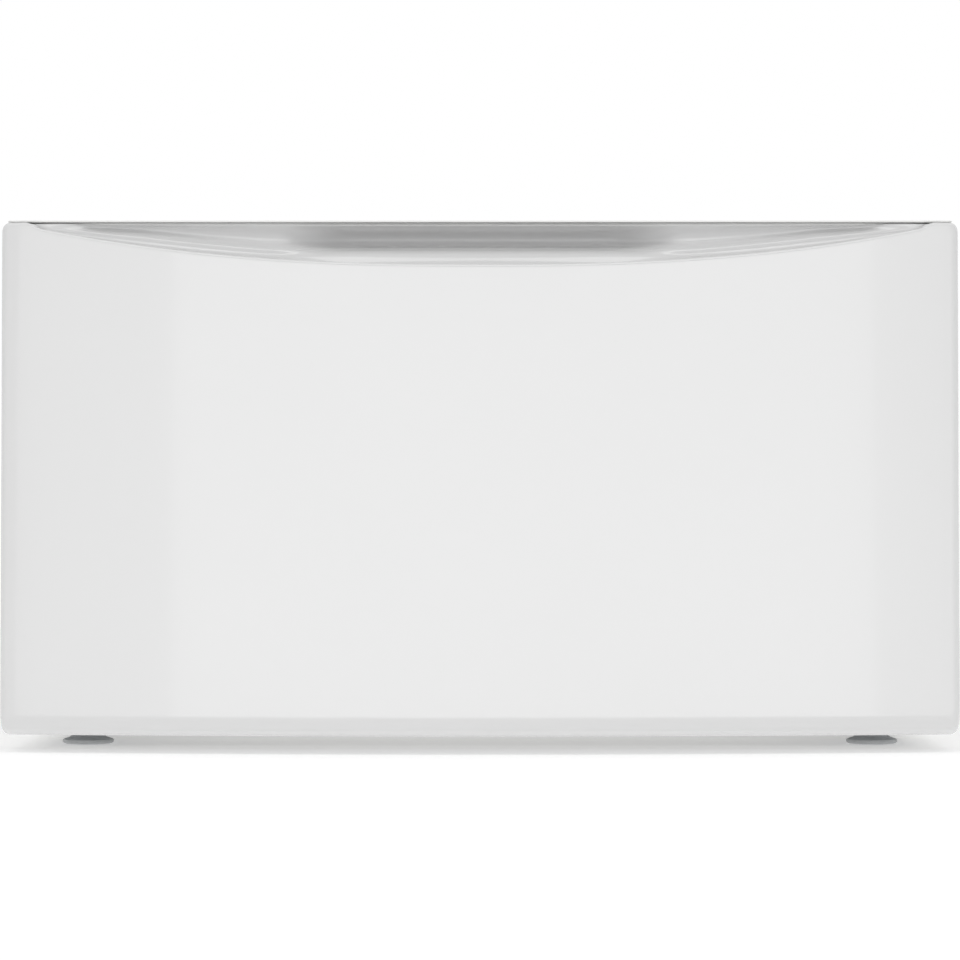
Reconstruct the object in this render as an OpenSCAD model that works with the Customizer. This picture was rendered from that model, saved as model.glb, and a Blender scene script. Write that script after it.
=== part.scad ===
// Laundry pedestal with one deep storage drawer on ball bearing slides.
// +Z is up, the front faces -Y, and the origin lies on the floor under the middle of the part.

/* [Overall] */
// Width over the drawer front
overall_w = 686; // [640:1:720]
// Depth from the middle of the bowed front to the rear screw heads
overall_d = 635; // [610:1:680]
// Height of the deck above the floor
overall_h = 381; // [360:1:420]

/* [Drawer front] */
// How far the middle of the front stands ahead of its two ends
bow = 30; // [20:1:40]
// How far the face leans back from its foot to its top
lean = 13.5; // [8:0.5:18]
// Depth of the front at its two ends
front_end_d = 50; // [48:1:56]
// Gap between the floor and the foot of the front
front_floor_gap = 12.6; // [8:1:20]
// Wall of the front moulding
front_wall = 2.4; // [2:0.1:3]
// Corner radius of the front, seen from ahead
front_corner_r = 6.5; // [5:0.5:10]
// Radius of the roll along the foot of the front
bottom_roll_r = 15; // [10:1:20]
// Radius of the two upright edges
side_roll_r = 4; // [3.5:0.1:5]
// How far the lip rolls back
lip_roll_r = 2.2; // [1.5:0.1:2.3]
// Height over which the lip rolls back
lip_roll_h = 3.2; // [2.5:0.1:6]

/* [Finger pull] */
// Drop of the lip below the top of the front, in the middle
lip_drop_mid = 32.6; // [26:0.2:34]
// Drop of the lip where it runs out
lip_drop_end = 4.5; // [3:0.1:5]
// Place of the lip's ends, in from the two edges of the front
lip_end_inset = 27; // [25:1:45]
// Half width of the deep pocket behind the lip
pocket_half_w = 100; // [90:1:130]
// Width over which the pocket rises into the wings
pocket_blend_w = 50; // [30:1:60]
// Depth of the pocket floor below the top of the front
pocket_depth = 46; // [42:1:52]
// How far the pocket wall lies behind the rim
pocket_undercut = 22; // [14:0.5:26]
// Wall of the finger pull moulding
pull_wall = 2.2; // [1.8:0.1:2.6]

/* [Cabinet] */
// Sheet of the cabinet panels
sheet_t = 1.2; // [1:0.1:1.6]
// Sheet of the deck
deck_t = 0.8; // [0.7:0.1:1.2]
// Gap between the deck and the top of the drawer front
deck_gap = 0.7; // [0.6:0.05:2]
// How far the deck reaches ahead of the cabinet
deck_overhang = 38.5; // [33:0.5:40]
// Bend radius of the long edges of the deck
deck_edge_r = 6; // [4:0.5:8]
// Gap between the cabinet and the back of the drawer front
cabinet_gap = 3; // [2.5:0.5:5]
// Height of the cabinet foot above the floor
cabinet_floor_gap = 18; // [17:0.5:19]
// Inward flange at the front of a side panel
front_flange = 21; // [16:1:24]
// Inward flange at the top and rear of a side panel
narrow_flange = 15; // [12:1:18]
// Inward flange at the foot of a side panel
foot_flange = 26; // [20:1:30]
// Height of the front top rail
top_rail_h = 35; // [25:1:40]
// Height of the bottom rails
bottom_rail_h = 38; // [30:1:40]
// Depth of the front rails
rail_d = 30; // [24:1:32]
// Depth of the stamped fields in the panels
field_depth = 4; // [3:0.5:5]

/* [Washer bolts] */
// Spacing of the bolt holes across the deck
bolt_span_x = 584; // [560:1:600]
// Spacing of the bolt holes from front to rear
bolt_span_y = 436; // [400:1:436]
// Radius of a bolt hole
bolt_hole_r = 6.5; // [5:0.1:8]
// Radius of the dished seat round a bolt hole
bolt_seat_r = 24; // [20:1:30]
// Depth of the dished seat
bolt_seat_depth = 2.5; // [2:0.5:4]

/* [Slides] */
// Length of a slide when closed
slide_len = 500; // [470:1:510]
// Travel of the drawer
slide_travel = 480; // [440:1:485]
// Height of the outer rail
slide_h = 45.7; // [45:0.1:50]
// Width of a slide from cabinet side to drawer side
slide_w = 12.7; // [12.7:0.1:13.5]
// Height of the middle of the slides above the floor
slide_z = 150; // [130:1:200]
// Sheet of the rails
rail_t = 1.2; // [1:0.05:1.3]
// Diameter of the balls between outer and middle rail
outer_ball_d = 5; // [4.8:0.1:5]
// Diameter of the balls between middle and inner rail
inner_ball_d = 4; // [3.8:0.1:4]
// Running clearance between a ball and its races
ball_clear = 0.05; // [0.03:0.01:0.08]
// Balls in one row of a cage
balls_per_row = 8; // [5:1:9]
// Pitch of the balls in a row
ball_pitch = 22; // [14:1:22]
// Sheet of the ball cages
cage_t = 0.6; // [0.5:0.05:0.7]

/* [Drawer box] */
// Room between the drawer box and each edge of the front
box_side_gap = 48; // [45:1:60]
// Height of the drawer box
box_h = 256; // [200:1:264]
// Length of the drawer box
box_len = 507; // [500:1:540]
// Height of the box floor above the floor of the room
box_z = 66; // [64:1:80]
// Sheet of the box
box_t = 1.2; // [1:0.1:1.5]
// Radius of the rolled top edge of the box
box_roll_r = 4.5; // [3.5:0.1:6]

/* [Feet] */
// Place of the feet, in from each edge of the front
foot_side_gap = 53; // [51:1:70]
// Place of the front feet behind the cabinet's front
foot_front_setback = 64; // [62:1:80]
// Place of the rear feet ahead of the back panel
foot_rear_setback = 50; // [48:1:80]
// Diameter of a foot pad
pad_d = 38; // [30:1:42]
// Height of a foot pad
pad_h = 9; // [8:0.1:9.4]
// Radius of the levelling stud
stud_r = 5; // [4:0.5:5.5]
// Top of the levelling stud above the floor
stud_top = 60; // [56:1:64]
// Width across the flats of the nuts
nut_af = 17; // [15:1:19]
// Clearance between the stud and its threads
thread_clear = 0.05; // [0.03:0.01:0.1]

/* [Fasteners] */
// Radius of a screw head
screw_head_r = 4.5; // [3.5:0.1:5]
// Height of a screw head
screw_head_h = 2.4; // [1.8:0.1:3]
// Radius of a screw shank
screw_r = 2.1; // [1.5:0.1:2.4]
// Clearance round a shank
hole_clear = 0.1; // [0.05:0.01:0.3]

/* [Hidden] */
$fn = 48;

// Places that several pieces share
front_w = overall_w;
apex_y = -overall_d / 2;
rear_y = overall_d / 2;
front_back_y = apex_y + bow + front_end_d;
front_bot = front_floor_gap;
front_top = overall_h - deck_t - deck_gap;
front_h = front_top - front_bot;
bow_r = (pow(front_w / 2, 2) + bow * bow) / (2 * bow);
lean_slope = lean / front_h;
lip_power = 2.42;
lip_half_w = front_w / 2 - lip_end_inset;

cab_front_y = front_back_y + cabinet_gap;
deck_bot = overall_h - deck_t;
skirt_h = 10;
side_x = overall_w / 2 - deck_t;
side_in_x = side_x - sheet_t;
back_out_y = rear_y - screw_head_h;
back_in_y = back_out_y - sheet_t;
cab_bot = cabinet_floor_gap;
cab_floor_z = cab_bot + sheet_t;
deck_front_y = cab_front_y - deck_overhang;
rim_y = deck_front_y + 2;
mid_cab_y = (cab_front_y + back_out_y) / 2;
fit = 0.2;
eps = 0.01;

box_w = overall_w - 2 * box_side_gap;
box_x = box_w / 2;
box_top = box_z + box_h;
box_front_y = front_back_y;
box_back_y = box_front_y + box_len;
slide_front_y = cab_front_y + 4.5;
slide_back_y = slide_front_y + slide_len;
support_x = box_x + slide_w;
support_t = 1.5;
support_h = 56;
support_tab = 14;

foot_x = overall_w / 2 - foot_side_gap;
foot_front_y = cab_front_y + foot_front_setback;
foot_rear_y = back_in_y - foot_rear_setback;
FEET = [for (x = [-foot_x, foot_x], y = [foot_front_y, foot_rear_y]) [x, y]];
BOLTS = [for (x = [-1, 1], y = [-1, 1]) [x * bolt_span_x / 2, mid_cab_y + y * bolt_span_y / 2]];

white = [0.92, 0.92, 0.91];
cabinet_white = [0.88, 0.88, 0.87];
zinc = [0.72, 0.74, 0.76];
dark_zinc = [0.55, 0.57, 0.6];
chrome = [0.85, 0.86, 0.88];
rubber = [0.16, 0.16, 0.17];
nylon = [0.2, 0.22, 0.25];
pad_grey = [0.62, 0.63, 0.64];

// ---------- helpers ----------
function reversed(p) = [for (i = [len(p) - 1:-1:0]) p[i]];
function unit(v) = v / norm(v);
function left_of(v) = [-v[1], v[0]];
function step(a, b, t) = let (u = min(1, max(0, (t - a) / (b - a)))) u * u * (3 - 2 * u);
function mix(a, b, t) = a * (1 - t) + b * t;

// Points of an open path moved sideways by d, mitred at its corners
function path_offset(p, d) = [for (i = [0:len(p) - 1]) let (
    last = len(p) - 1,
    n0 = left_of(unit(i > 0 ? p[i] - p[i - 1] : p[1] - p[0])),
    n1 = left_of(unit(i < last ? p[i + 1] - p[i] : p[last] - p[last - 1])))
    p[i] + d * (n0 + n1) / (1 + n0 * n1)];

// Outline of a sheet of thickness t that lies to the left of a path
function sheet_outline(p, t) = concat(p, reversed(path_offset(p, t)));

// Points of an arc, angles in degrees
function arc(c, r, a0, a1, n) = [for (i = [0:n]) let (a = a0 + (a1 - a0) * i / n)
    c + r * [cos(a), sin(a)]];

// An outline in X and Z, drawn out along Y
module along_y(outline, y0, y1) {
    translate([0, y1, 0]) rotate([90, 0, 0]) linear_extrude(y1 - y0) polygon(outline);
}

// An outline in Y and Z, drawn out along X
module along_x(outline, x0, x1) {
    translate([x0, 0, 0]) rotate([90, 0, 90]) linear_extrude(x1 - x0) polygon(outline);
}

// A block between two corners
module block(a, b) {
    translate(a) cube(b - a);
}

// A hexagonal nut with a bore
module hex_nut(af, h, bore_r) {
    difference() {
        cylinder(r = af / 2 / cos(30), h = h, $fn = 6);
        translate([0, 0, -1]) cylinder(r = bore_r, h = h + 2);
    }
}

// A block with four walls that lean in by s over the height d
module frustum(w, h, d, s) {
    intersection() {
        rotate([90, 0, 0]) linear_extrude(h, center = true)
            polygon([[-w / 2, 0], [w / 2, 0], [w / 2 - s, d], [-w / 2 + s, d]]);
        rotate([90, 0, 90]) linear_extrude(w, center = true)
            polygon([[-h / 2, 0], [h / 2, 0], [h / 2 - s, d], [-h / 2 + s, d]]);
    }
}

// A plate on XY with stamped fields that rise by depth; each field is [x, y, w, h]
module stamped_plate(w, h, t, fields, depth) {
    difference() {
        union() {
            translate([-w / 2, -h / 2, 0]) cube([w, h, t]);
            for (f = fields) translate([f[0], f[1], 0])
                frustum(f[2] + 2 * sqrt(2) * t, f[3] + 2 * sqrt(2) * t, depth + t, depth + t);
        }
        for (f = fields) translate([f[0], f[1], -eps])
            frustum(f[2], f[3], depth + eps, depth + eps);
    }
}

// A pan head screw along +X: the head lies before the origin, the shank after it
module screw_x(head_r, head_h, shank_r, shank_l) {
    rotate([0, 90, 0]) {
        translate([0, 0, -head_h]) cylinder(r1 = head_r * 0.7, r2 = head_r, h = head_h * 0.5);
        translate([0, 0, -head_h / 2]) cylinder(r = head_r, h = head_h / 2);
        translate([0, 0, -eps]) cylinder(r = shank_r, h = shank_l + eps);
    }
}

// ---------- shape of the drawer front ----------
function bow_at(x) = bow_r - sqrt(bow_r * bow_r - x * x);
function face_y(x, z) = apex_y + bow_at(x) + lean_slope * (z - front_bot - bottom_roll_r);
function roll(d, r) = d >= r ? 0 : r - sqrt(max(0, r * r - (r - d) * (r - d)));
function corner_rise(x) = let (over = abs(x) - (front_w / 2 - front_corner_r))
    over <= 0 ? 0 : front_corner_r - sqrt(max(0, pow(front_corner_r, 2) - over * over));
function lip_drop(x) = lip_drop_mid
    - (lip_drop_mid - lip_drop_end) * pow(abs(x) / lip_half_w, lip_power);
function top_drop(x) = max(lip_drop(x), corner_rise(x));

CORNER_STEPS = 5;
FACE_COLUMNS = 44;
FACE_ROWS = 8;

// Places of the columns across a front of half width hw, closer at the two corners
function columns(hw) = let (
    flat = hw - front_corner_r,
    side = concat([flat + 10 * eps],
        [for (i = [1:CORNER_STEPS]) flat + front_corner_r * sin(90 * i / CORNER_STEPS)]))
    concat([for (x = reversed(side)) -x],
        [for (i = [0:FACE_COLUMNS]) -flat + 2 * flat * i / FACE_COLUMNS], side);

// Points of the face of a block that lies inset by w within the front; the
// block's top rises above the lip by rise, but keeps a wall at the two corners
function face_column(x, w, rise) = let (
    k = (front_w / 2) / (front_w / 2 - w),
    zb = front_bot + w + corner_rise(x * k),
    corner = abs(x * k) > front_w / 2 - front_corner_r + eps,
    zt = front_top - top_drop(x * k) + (corner && rise > 0 ? -w : rise),
    rb = bottom_roll_r - w,
    foot = [for (i = [0:CORNER_STEPS]) rb * (1 - cos(90 * i / CORNER_STEPS))],
    head = [for (i = [CORNER_STEPS:-1:0]) lip_roll_h * (1 - cos(90 * i / CORNER_STEPS))],
    z0 = zb + rb,
    z1 = zt - lip_roll_h,
    zs = concat([for (d = foot) zb + d],
        [for (i = [1:FACE_ROWS - 1]) mix(z0, z1, i / FACE_ROWS)], [for (d = head) zt - d]))
    [for (z = zs) [x, w + face_y(x, z) + roll(z - zb, rb)
        + (rise > 0 ? 0 : roll(zt - z, lip_roll_h) * lip_roll_r / lip_roll_h)
        + roll(front_w / 2 - w - abs(x), side_roll_r - w / 2), z]];

// A closed block between a grid of face points and the plane y = back
module face_block(w, rise, back) {
    xs = columns(front_w / 2 - w);
    face = [for (x = xs) face_column(x, w, rise)];
    m = len(xs) - 1;
    n = len(face[0]) - 1;
    size = (m + 1) * (n + 1);
    points = concat([for (c = face) for (p = c) p], [for (c = face) for (p = c) [p[0], back, p[2]]]);
    function f(i, j) = i * (n + 1) + j;
    function r(i, j) = size + f(i, j);
    function quad(a, b, c, d) = [[a, b, c], [a, c, d]];
    polyhedron(points, concat(
        [for (i = [0:m - 1], j = [0:n - 1])
            each quad(f(i, j), f(i, j + 1), f(i + 1, j + 1), f(i + 1, j))],
        [for (i = [0:m - 1], j = [0:n - 1])
            each quad(r(i, j), r(i + 1, j), r(i + 1, j + 1), r(i, j + 1))],
        [for (i = [0:m - 1]) each quad(f(i, 0), f(i + 1, 0), r(i + 1, 0), r(i, 0))],
        [for (i = [0:m - 1]) each quad(f(i + 1, n), f(i, n), r(i, n), r(i + 1, n))],
        [for (j = [0:n - 1]) each quad(f(0, j + 1), f(0, j), r(0, j), r(0, j + 1))],
        [for (j = [0:n - 1]) each quad(f(m, j), f(m, j + 1), r(m, j + 1), r(m, j))]));
}

module drawer_front() {
    color(white) difference() {
        face_block(0, 0, front_back_y);
        face_block(front_wall, lip_roll_r + 4, front_back_y + 1);
    }
}

// ---------- finger pull ----------
wing_depth = 5;
PULL_SECTIONS = 56;
PULL_STEPS = 3;

// A section is drawn in u, forward from the rim, and v, down from the top of the front
function rim_at(x) = max(rim_y, face_y(x, front_top) + front_wall + fit + pull_wall + 4);
function lip_u(x) = rim_at(x) - pull_wall
    - (face_y(x, front_top - lip_drop(x)) + front_wall + fit);
function deep(x) = 1 - step(pocket_half_w - pocket_blend_w / 4, pocket_half_w + pocket_blend_w, abs(x));
function lip_v(x) = max(lip_drop(x), 2) + 0.6;
// Drop of the deepest line of the wings
function ridge_v(x) = let (run = (lip_half_w - 52 - abs(x)) / 110)
    0.5 + 12 * (run <= 0 ? 0 : run >= 1 ? 1 : pow(run, 0.7));
function wing_share(x) = min(1, max(0, (lip_v(x) - 3.8) / 12));

// Corner points of the section at x, from the rim to the lip
function pull_knots(x) = let (
    u = lip_u(x), v = lip_v(x), d = deep(x), a = pocket_undercut,
    s = wing_share(x), rv = max(ridge_v(x), 1.2, 0.25 * v), b = wing_depth * s, k = v - rv,
    pocket = [[0, 0.8], [0, 2.2], [-0.65 * a, 5.5], [-a, 10.5], [-0.8 * a, 15],
        [-0.25 * a, 18.5], [0.06 * u, 22], [0.28 * u, 31], [0.66 * u, pocket_depth - 3], [u, v]],
    wing = [[0, 0.3 + 0.5 * s], [0, 0.6 + 1.2 * s], [-0.75 * b, max(0.9, 0.45 * rv)], [-b, rv],
        [-0.6 * b, rv + 0.22 * k], [0.12 * u, rv + 0.42 * k], [0.35 * u, rv + 0.62 * k],
        [0.6 * u, rv + 0.78 * k], [0.84 * u, rv + 0.92 * k], [u, v]])
    [for (i = [0:len(pocket) - 1]) mix(wing[i], pocket[i], d)];

// A smooth curve through the knots
function curve(p, steps) = let (last = len(p) - 1) concat([for (i = [0:last - 1], k = [0:steps - 1])
    let (t = k / steps, a = p[max(0, i - 1)], b = p[i], c = p[i + 1], e = p[min(last, i + 2)])
    0.5 * (2 * b + (c - a) * t + (2 * a - 5 * b + 4 * c - e) * t * t
        + (3 * b - 3 * c + e - a) * t * t * t)], [p[last]]);

// Closed outline of the moulding at x: recess, then its back, then the top flange
function pull_section(x) = let (
    path = curve(pull_knots(x), PULL_STEPS),
    under = path_offset(path, pull_wall),
    first = 3 * PULL_STEPS,
    rear = rim_at(x) - front_back_y + sheet_t + fit,
    rim = [[rear, 0], [-0.6, 0]])
    concat(rim, path, reversed([for (i = [first:len(path) - 1]) under[i]]),
        [[under[first][0], pull_wall], [rear, pull_wall]]);

// A closed solid through sections of the same length, in order along X
module loft_x(xs, sections) {
    m = len(xs) - 1;
    n = len(sections[0]);
    points = [for (i = [0:m]) for (q = sections[i]) [xs[i], rim_at(xs[i]) - q[0], front_top - q[1]]];
    polyhedron(points, concat(
        [for (i = [0:m - 1], j = [0:n - 1]) let (k = (j + 1) % n)
            each [[i * n + j, (i + 1) * n + j, (i + 1) * n + k], [i * n + j, (i + 1) * n + k, i * n + k]]],
        [[for (j = [0:n - 1]) j]], [[for (j = [n - 1:-1:0]) m * n + j]]));
}

module finger_pull() {
    half = front_w / 2 - front_wall - front_corner_r - fit;
    xs = [for (i = [0:PULL_SECTIONS]) -half + 2 * half * i / PULL_SECTIONS];
    color(white) loft_x(xs, [for (x = xs) pull_section(x)]);
}

// ---------- drawer front, inside ----------
// Places of the screws that hold the box to the inner panel, and of the bumpers
FRONT_SCREWS = [for (x = [-0.8, -0.27, 0.27, 0.8], z = [0.2, 0.75]) [x * box_x, box_z + z * box_h]];
bumper_r = 7;
bumper_x = side_x - front_flange / 2;
BUMPERS = [for (x = [-bumper_x, bumper_x], z = [front_bot + 50, front_top - 50]) [x, z]];

module front_inner_panel() {
    w = front_w - 2 * (front_wall + fit);
    z0 = front_bot + front_wall + fit + 2;
    z1 = front_top - pull_wall - 2 * fit;
    notch = front_corner_r / 2;
    color(cabinet_white) difference() {
        translate([0, front_back_y, (z0 + z1) / 2]) rotate([90, 0, 0])
            stamped_plate(w - 4, z1 - z0, sheet_t, [for (x = [-w / 4 - 65, w / 4 + 65])
                [x, -20, 120, 200]], field_depth);
        // The top corners clear the round corners of the front
        for (m = [0, 1]) mirror([m, 0, 0])
            block([w / 2 - 2 - notch, front_back_y - 2 * sheet_t, z1 - notch],
                [w / 2, front_back_y + 1, z1 + 1]);
        for (s = FRONT_SCREWS) translate([s[0], front_back_y + 1, s[1]]) rotate([90, 0, 0])
            cylinder(r = screw_r + hole_clear, h = sheet_t + 2);
    }
}

module drawer_bumpers() {
    color(rubber) for (b = BUMPERS) translate([b[0], front_back_y, b[1]]) rotate([-90, 0, 0])
        cylinder(r1 = bumper_r, r2 = bumper_r - 1, h = cabinet_gap - 0.3);
}

module front_screws() {
    color(zinc) for (s = FRONT_SCREWS) translate([s[0], box_front_y + box_t, s[1]])
        rotate([0, 0, -90]) screw_x(screw_head_r, screw_head_h, screw_r, 2 * sheet_t + 2);
}

// ---------- drawer box ----------
box_floor_lip = 14;
box_floor_z = box_z + 6;
rail_screw_y = [for (k = [0.1, 0.5, 0.9]) slide_front_y + k * slide_len];
lever_room = 60;
rail_screws = [rail_screw_y[0], rail_screw_y[1] + lever_room, rail_screw_y[2]];

// The right side of the box; the left one mirrors it
module box_side() {
    wall_x = box_x;
    path = concat([[wall_x - box_floor_lip, box_z], [wall_x, box_z],
        [wall_x, box_top - box_roll_r]],
        arc([wall_x - box_roll_r, box_top - box_roll_r], box_roll_r, 15, 210, 10));
    color(cabinet_white) difference() {
        along_y(sheet_outline(path, box_t), box_front_y + box_t, box_back_y - box_t);
        for (y = rail_screws) translate([wall_x - 3 * box_t, y, slide_z]) rotate([0, 90, 0])
            cylinder(r = screw_r + hole_clear, h = 4 * box_t);
    }
}

module box_left_side() { mirror([1, 0, 0]) box_side(); }
module box_right_side() { box_side(); }

module box_front() {
    color(cabinet_white) difference() {
        block([-box_x, box_front_y, box_z], [box_x, box_front_y + box_t, box_top]);
        for (s = FRONT_SCREWS) translate([s[0], box_front_y - 1, s[1]]) rotate([-90, 0, 0])
            cylinder(r = screw_r + hole_clear, h = box_t + 2);
    }
}

module box_back() {
    color(cabinet_white) union() {
        translate([0, box_back_y, (box_z + box_top) / 2]) rotate([90, 0, 0])
            stamped_plate(box_w, box_h, box_t,
                [for (x = [-box_w / 4, box_w / 4]) [x, 0, box_w / 2 - 60, box_h - 90]], field_depth);
        along_x(sheet_outline(concat([[box_back_y - box_t, box_top]],
            arc([box_back_y + box_roll_r - box_t, box_top - box_t], box_roll_r, 150, 0, 8)), -box_t),
            -box_x, box_x);
    }
}

module box_floor() {
    inner_w = box_w - 2 * box_t - 2 * fit;
    color(cabinet_white) translate([0, (box_front_y + box_back_y) / 2, box_z + box_t])
        stamped_plate(inner_w, box_len - 2 * box_t - 2 * fit, box_t,
            [for (i = [-2:2]) [i * inner_w / 5.4, 0, 56, box_len - 120]], field_depth);
}

module box_screws() {
    color(zinc) for (m = [0, 1], y = rail_screws) mirror([m, 0, 0])
        translate([box_x - box_t, y, slide_z]) screw_x(screw_head_r, screw_head_h / 1.5, screw_r,
            box_t + rail_t);
}

// ---------- slides: sections in X from the cabinet side, and in Z from their middle ----------
outer_half = slide_h / 2;
flange_t = 1.9;
outer_ball_z = outer_half - 1.15 - outer_ball_d / 2;
outer_ball_x = 5.8;
middle_half = outer_ball_z - outer_ball_d / 2 + 0.75;
middle_flange = 2.9;
inner_ball_z = middle_half - middle_flange + 0.4 - inner_ball_d / 2;
inner_ball_x = 7.4;
inner_half = inner_ball_z - inner_ball_d / 2 + 0.75;
middle_web_x = rail_t + 2 * 0.3 + cage_t;
inner_cage_x = middle_web_x + rail_t + 0.4;
inner_flange_x = inner_cage_x + cage_t + 0.4;
cage_len = (balls_per_row - 1) * ball_pitch + 22;
outer_cage_y = slide_front_y + slide_len / 2 - cage_len / 2;
stop_t = 3;
lever_pivot_r = 2;
lever_hook_y = slide_front_y + stop_t + slide_travel / 2 + 0.3;
lever_pivot_y = lever_hook_y + 34;
lever_x0 = inner_flange_x + 1;

// Draws a slide section, given from the cabinet side, on the right side of the cabinet
module rail_along(y0, y1) {
    translate([support_x, y1, slide_z]) rotate([90, 0, 0]) mirror([1, 0, 0])
        linear_extrude(y1 - y0) children();
}

// The same corner shape at the top and the bottom of a rail section
module top_and_bottom() {
    children();
    mirror([0, 1]) children();
}

module groove(ball_x, ball_z, ball_d) {
    translate([ball_x, ball_z]) circle(r = ball_d / 2 + ball_clear);
}

module outer_rail_section() {
    difference() {
        union() {
            translate([0, -outer_half]) square([rail_t, slide_h]);
            top_and_bottom() {
                translate([0, outer_half - flange_t]) square([slide_w - 1.7, flange_t]);
                translate([slide_w - 2.9, outer_half - 3.4]) square([1.2, 3.4]);
            }
        }
        top_and_bottom() groove(outer_ball_x, outer_ball_z, outer_ball_d);
    }
}

module middle_rail_section() {
    difference() {
        union() {
            translate([middle_web_x, -middle_half]) square([rail_t, 2 * middle_half]);
            top_and_bottom() translate([middle_web_x, middle_half - middle_flange])
                square([slide_w - 3.2 - middle_web_x, middle_flange]);
        }
        top_and_bottom() {
            groove(outer_ball_x, outer_ball_z, outer_ball_d);
            groove(inner_ball_x, inner_ball_z, inner_ball_d);
        }
    }
}

module inner_rail_section() {
    difference() {
        union() {
            translate([slide_w - rail_t, -inner_half]) square([rail_t, 2 * inner_half]);
            top_and_bottom() translate([inner_flange_x, inner_half - flange_t])
                square([slide_w - inner_flange_x, flange_t]);
        }
        top_and_bottom() groove(inner_ball_x, inner_ball_z, inner_ball_d);
    }
}

// A folded strip whose two flanges hold the balls
module cage(web_x, ball_x, ball_z, ball_d, reach) {
    difference() {
        rail_along(outer_cage_y, outer_cage_y + cage_len) {
            translate([web_x, -ball_z - cage_t / 2]) square([cage_t, 2 * ball_z + cage_t]);
            top_and_bottom() translate([web_x, ball_z - cage_t / 2])
                square([reach - web_x, cage_t]);
        }
        for (y = ball_places()) translate([support_x - ball_x, y, slide_z - ball_z - 2])
            cylinder(r = ball_d / 2 + ball_clear, h = 2 * ball_z + 4);
    }
}

function ball_places() = [for (i = [0:balls_per_row - 1])
    outer_cage_y + 11 + i * ball_pitch];

module balls(ball_x, ball_z, ball_d) {
    color(chrome) for (y = ball_places(), s = [-1, 1])
        translate([support_x - ball_x, y, slide_z + s * ball_z]) sphere(d = ball_d, $fn = 24);
}

module outer_rail() {
    color(zinc) difference() {
        rail_along(slide_front_y, slide_back_y) outer_rail_section();
        for (y = rail_screw_y) translate([support_x - 2 * rail_t, y, slide_z]) rotate([0, 90, 0])
            cylinder(r = screw_r + hole_clear, h = 3 * rail_t);
    }
}

module middle_rail() {
    color(zinc) union() {
        rail_along(slide_front_y, slide_back_y) middle_rail_section();
        rail_along(slide_front_y, slide_front_y + stop_t)
            translate([middle_web_x + rail_t - eps, -3]) square([lever_x0 + 1.5 - middle_web_x
                - rail_t, 4]);
    }
}

module inner_rail() {
    color(zinc) difference() {
        union() {
            rail_along(slide_front_y, slide_back_y) inner_rail_section();
            translate([support_x - slide_w, lever_pivot_y, slide_z]) rotate([0, 90, 0])
                cylinder(r = lever_pivot_r, h = slide_w - lever_x0 + 0.5);
        }
        for (y = rail_screws) translate([support_x - slide_w - 1, y, slide_z]) rotate([0, 90, 0])
            cylinder(r = screw_r + hole_clear, h = rail_t + 2);
    }
}

// The lever turns on the inner rail's pin; its hook meets the middle rail's stop
module release_lever() {
    lever_t = slide_w - rail_t - 0.3 - lever_x0;
    tail = 30;
    color(nylon) difference() {
        translate([support_x - lever_x0, lever_pivot_y, slide_z]) rotate([90, 0, -90])
            linear_extrude(lever_t) difference() {
                union() {
                    circle(r = 4.5);
                    translate([0, -1.6]) square([lever_pivot_y - lever_hook_y, 3.2]);
                    translate([lever_pivot_y - lever_hook_y - 5, -2.6]) square([5, 3.6]);
                    translate([-tail, -1.6]) square([tail, 3.2]);
                    translate([-tail, 0]) circle(r = 3);
                }
                circle(r = lever_pivot_r + thread_clear);
            }
    }
}

module left_outer_rail() { mirror([1, 0, 0]) outer_rail(); }
module right_outer_rail() { outer_rail(); }
module left_middle_rail() { mirror([1, 0, 0]) middle_rail(); }
module right_middle_rail() { middle_rail(); }
module left_inner_rail() { mirror([1, 0, 0]) inner_rail(); }
module right_inner_rail() { inner_rail(); }
module left_release_lever() { mirror([1, 0, 0]) release_lever(); }
module right_release_lever() { release_lever(); }

module right_outer_cage() {
    color(dark_zinc) cage(rail_t + 0.3, outer_ball_x, outer_ball_z, outer_ball_d, 9.2);
}
module left_outer_cage() { mirror([1, 0, 0]) right_outer_cage(); }
module right_inner_cage() {
    color(dark_zinc) cage(inner_cage_x, inner_ball_x, inner_ball_z, inner_ball_d, 10);
}
module left_inner_cage() { mirror([1, 0, 0]) right_inner_cage(); }
module right_outer_balls() { balls(outer_ball_x, outer_ball_z, outer_ball_d); }
module left_outer_balls() { mirror([1, 0, 0]) right_outer_balls(); }
module right_inner_balls() { balls(inner_ball_x, inner_ball_z, inner_ball_d); }
module left_inner_balls() { mirror([1, 0, 0]) right_inner_balls(); }

// ---------- cabinet ----------
BACK_SCREWS = [for (x = [-1, 1], k = [0.14, 0.38, 0.62, 0.86])
    [x * (side_x - narrow_flange / 2), mix(cab_bot, overall_h, k)]];

// Bend radius of the panels under the bent edges of the deck
panel_r = deck_edge_r - deck_t + 0.5;

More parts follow.
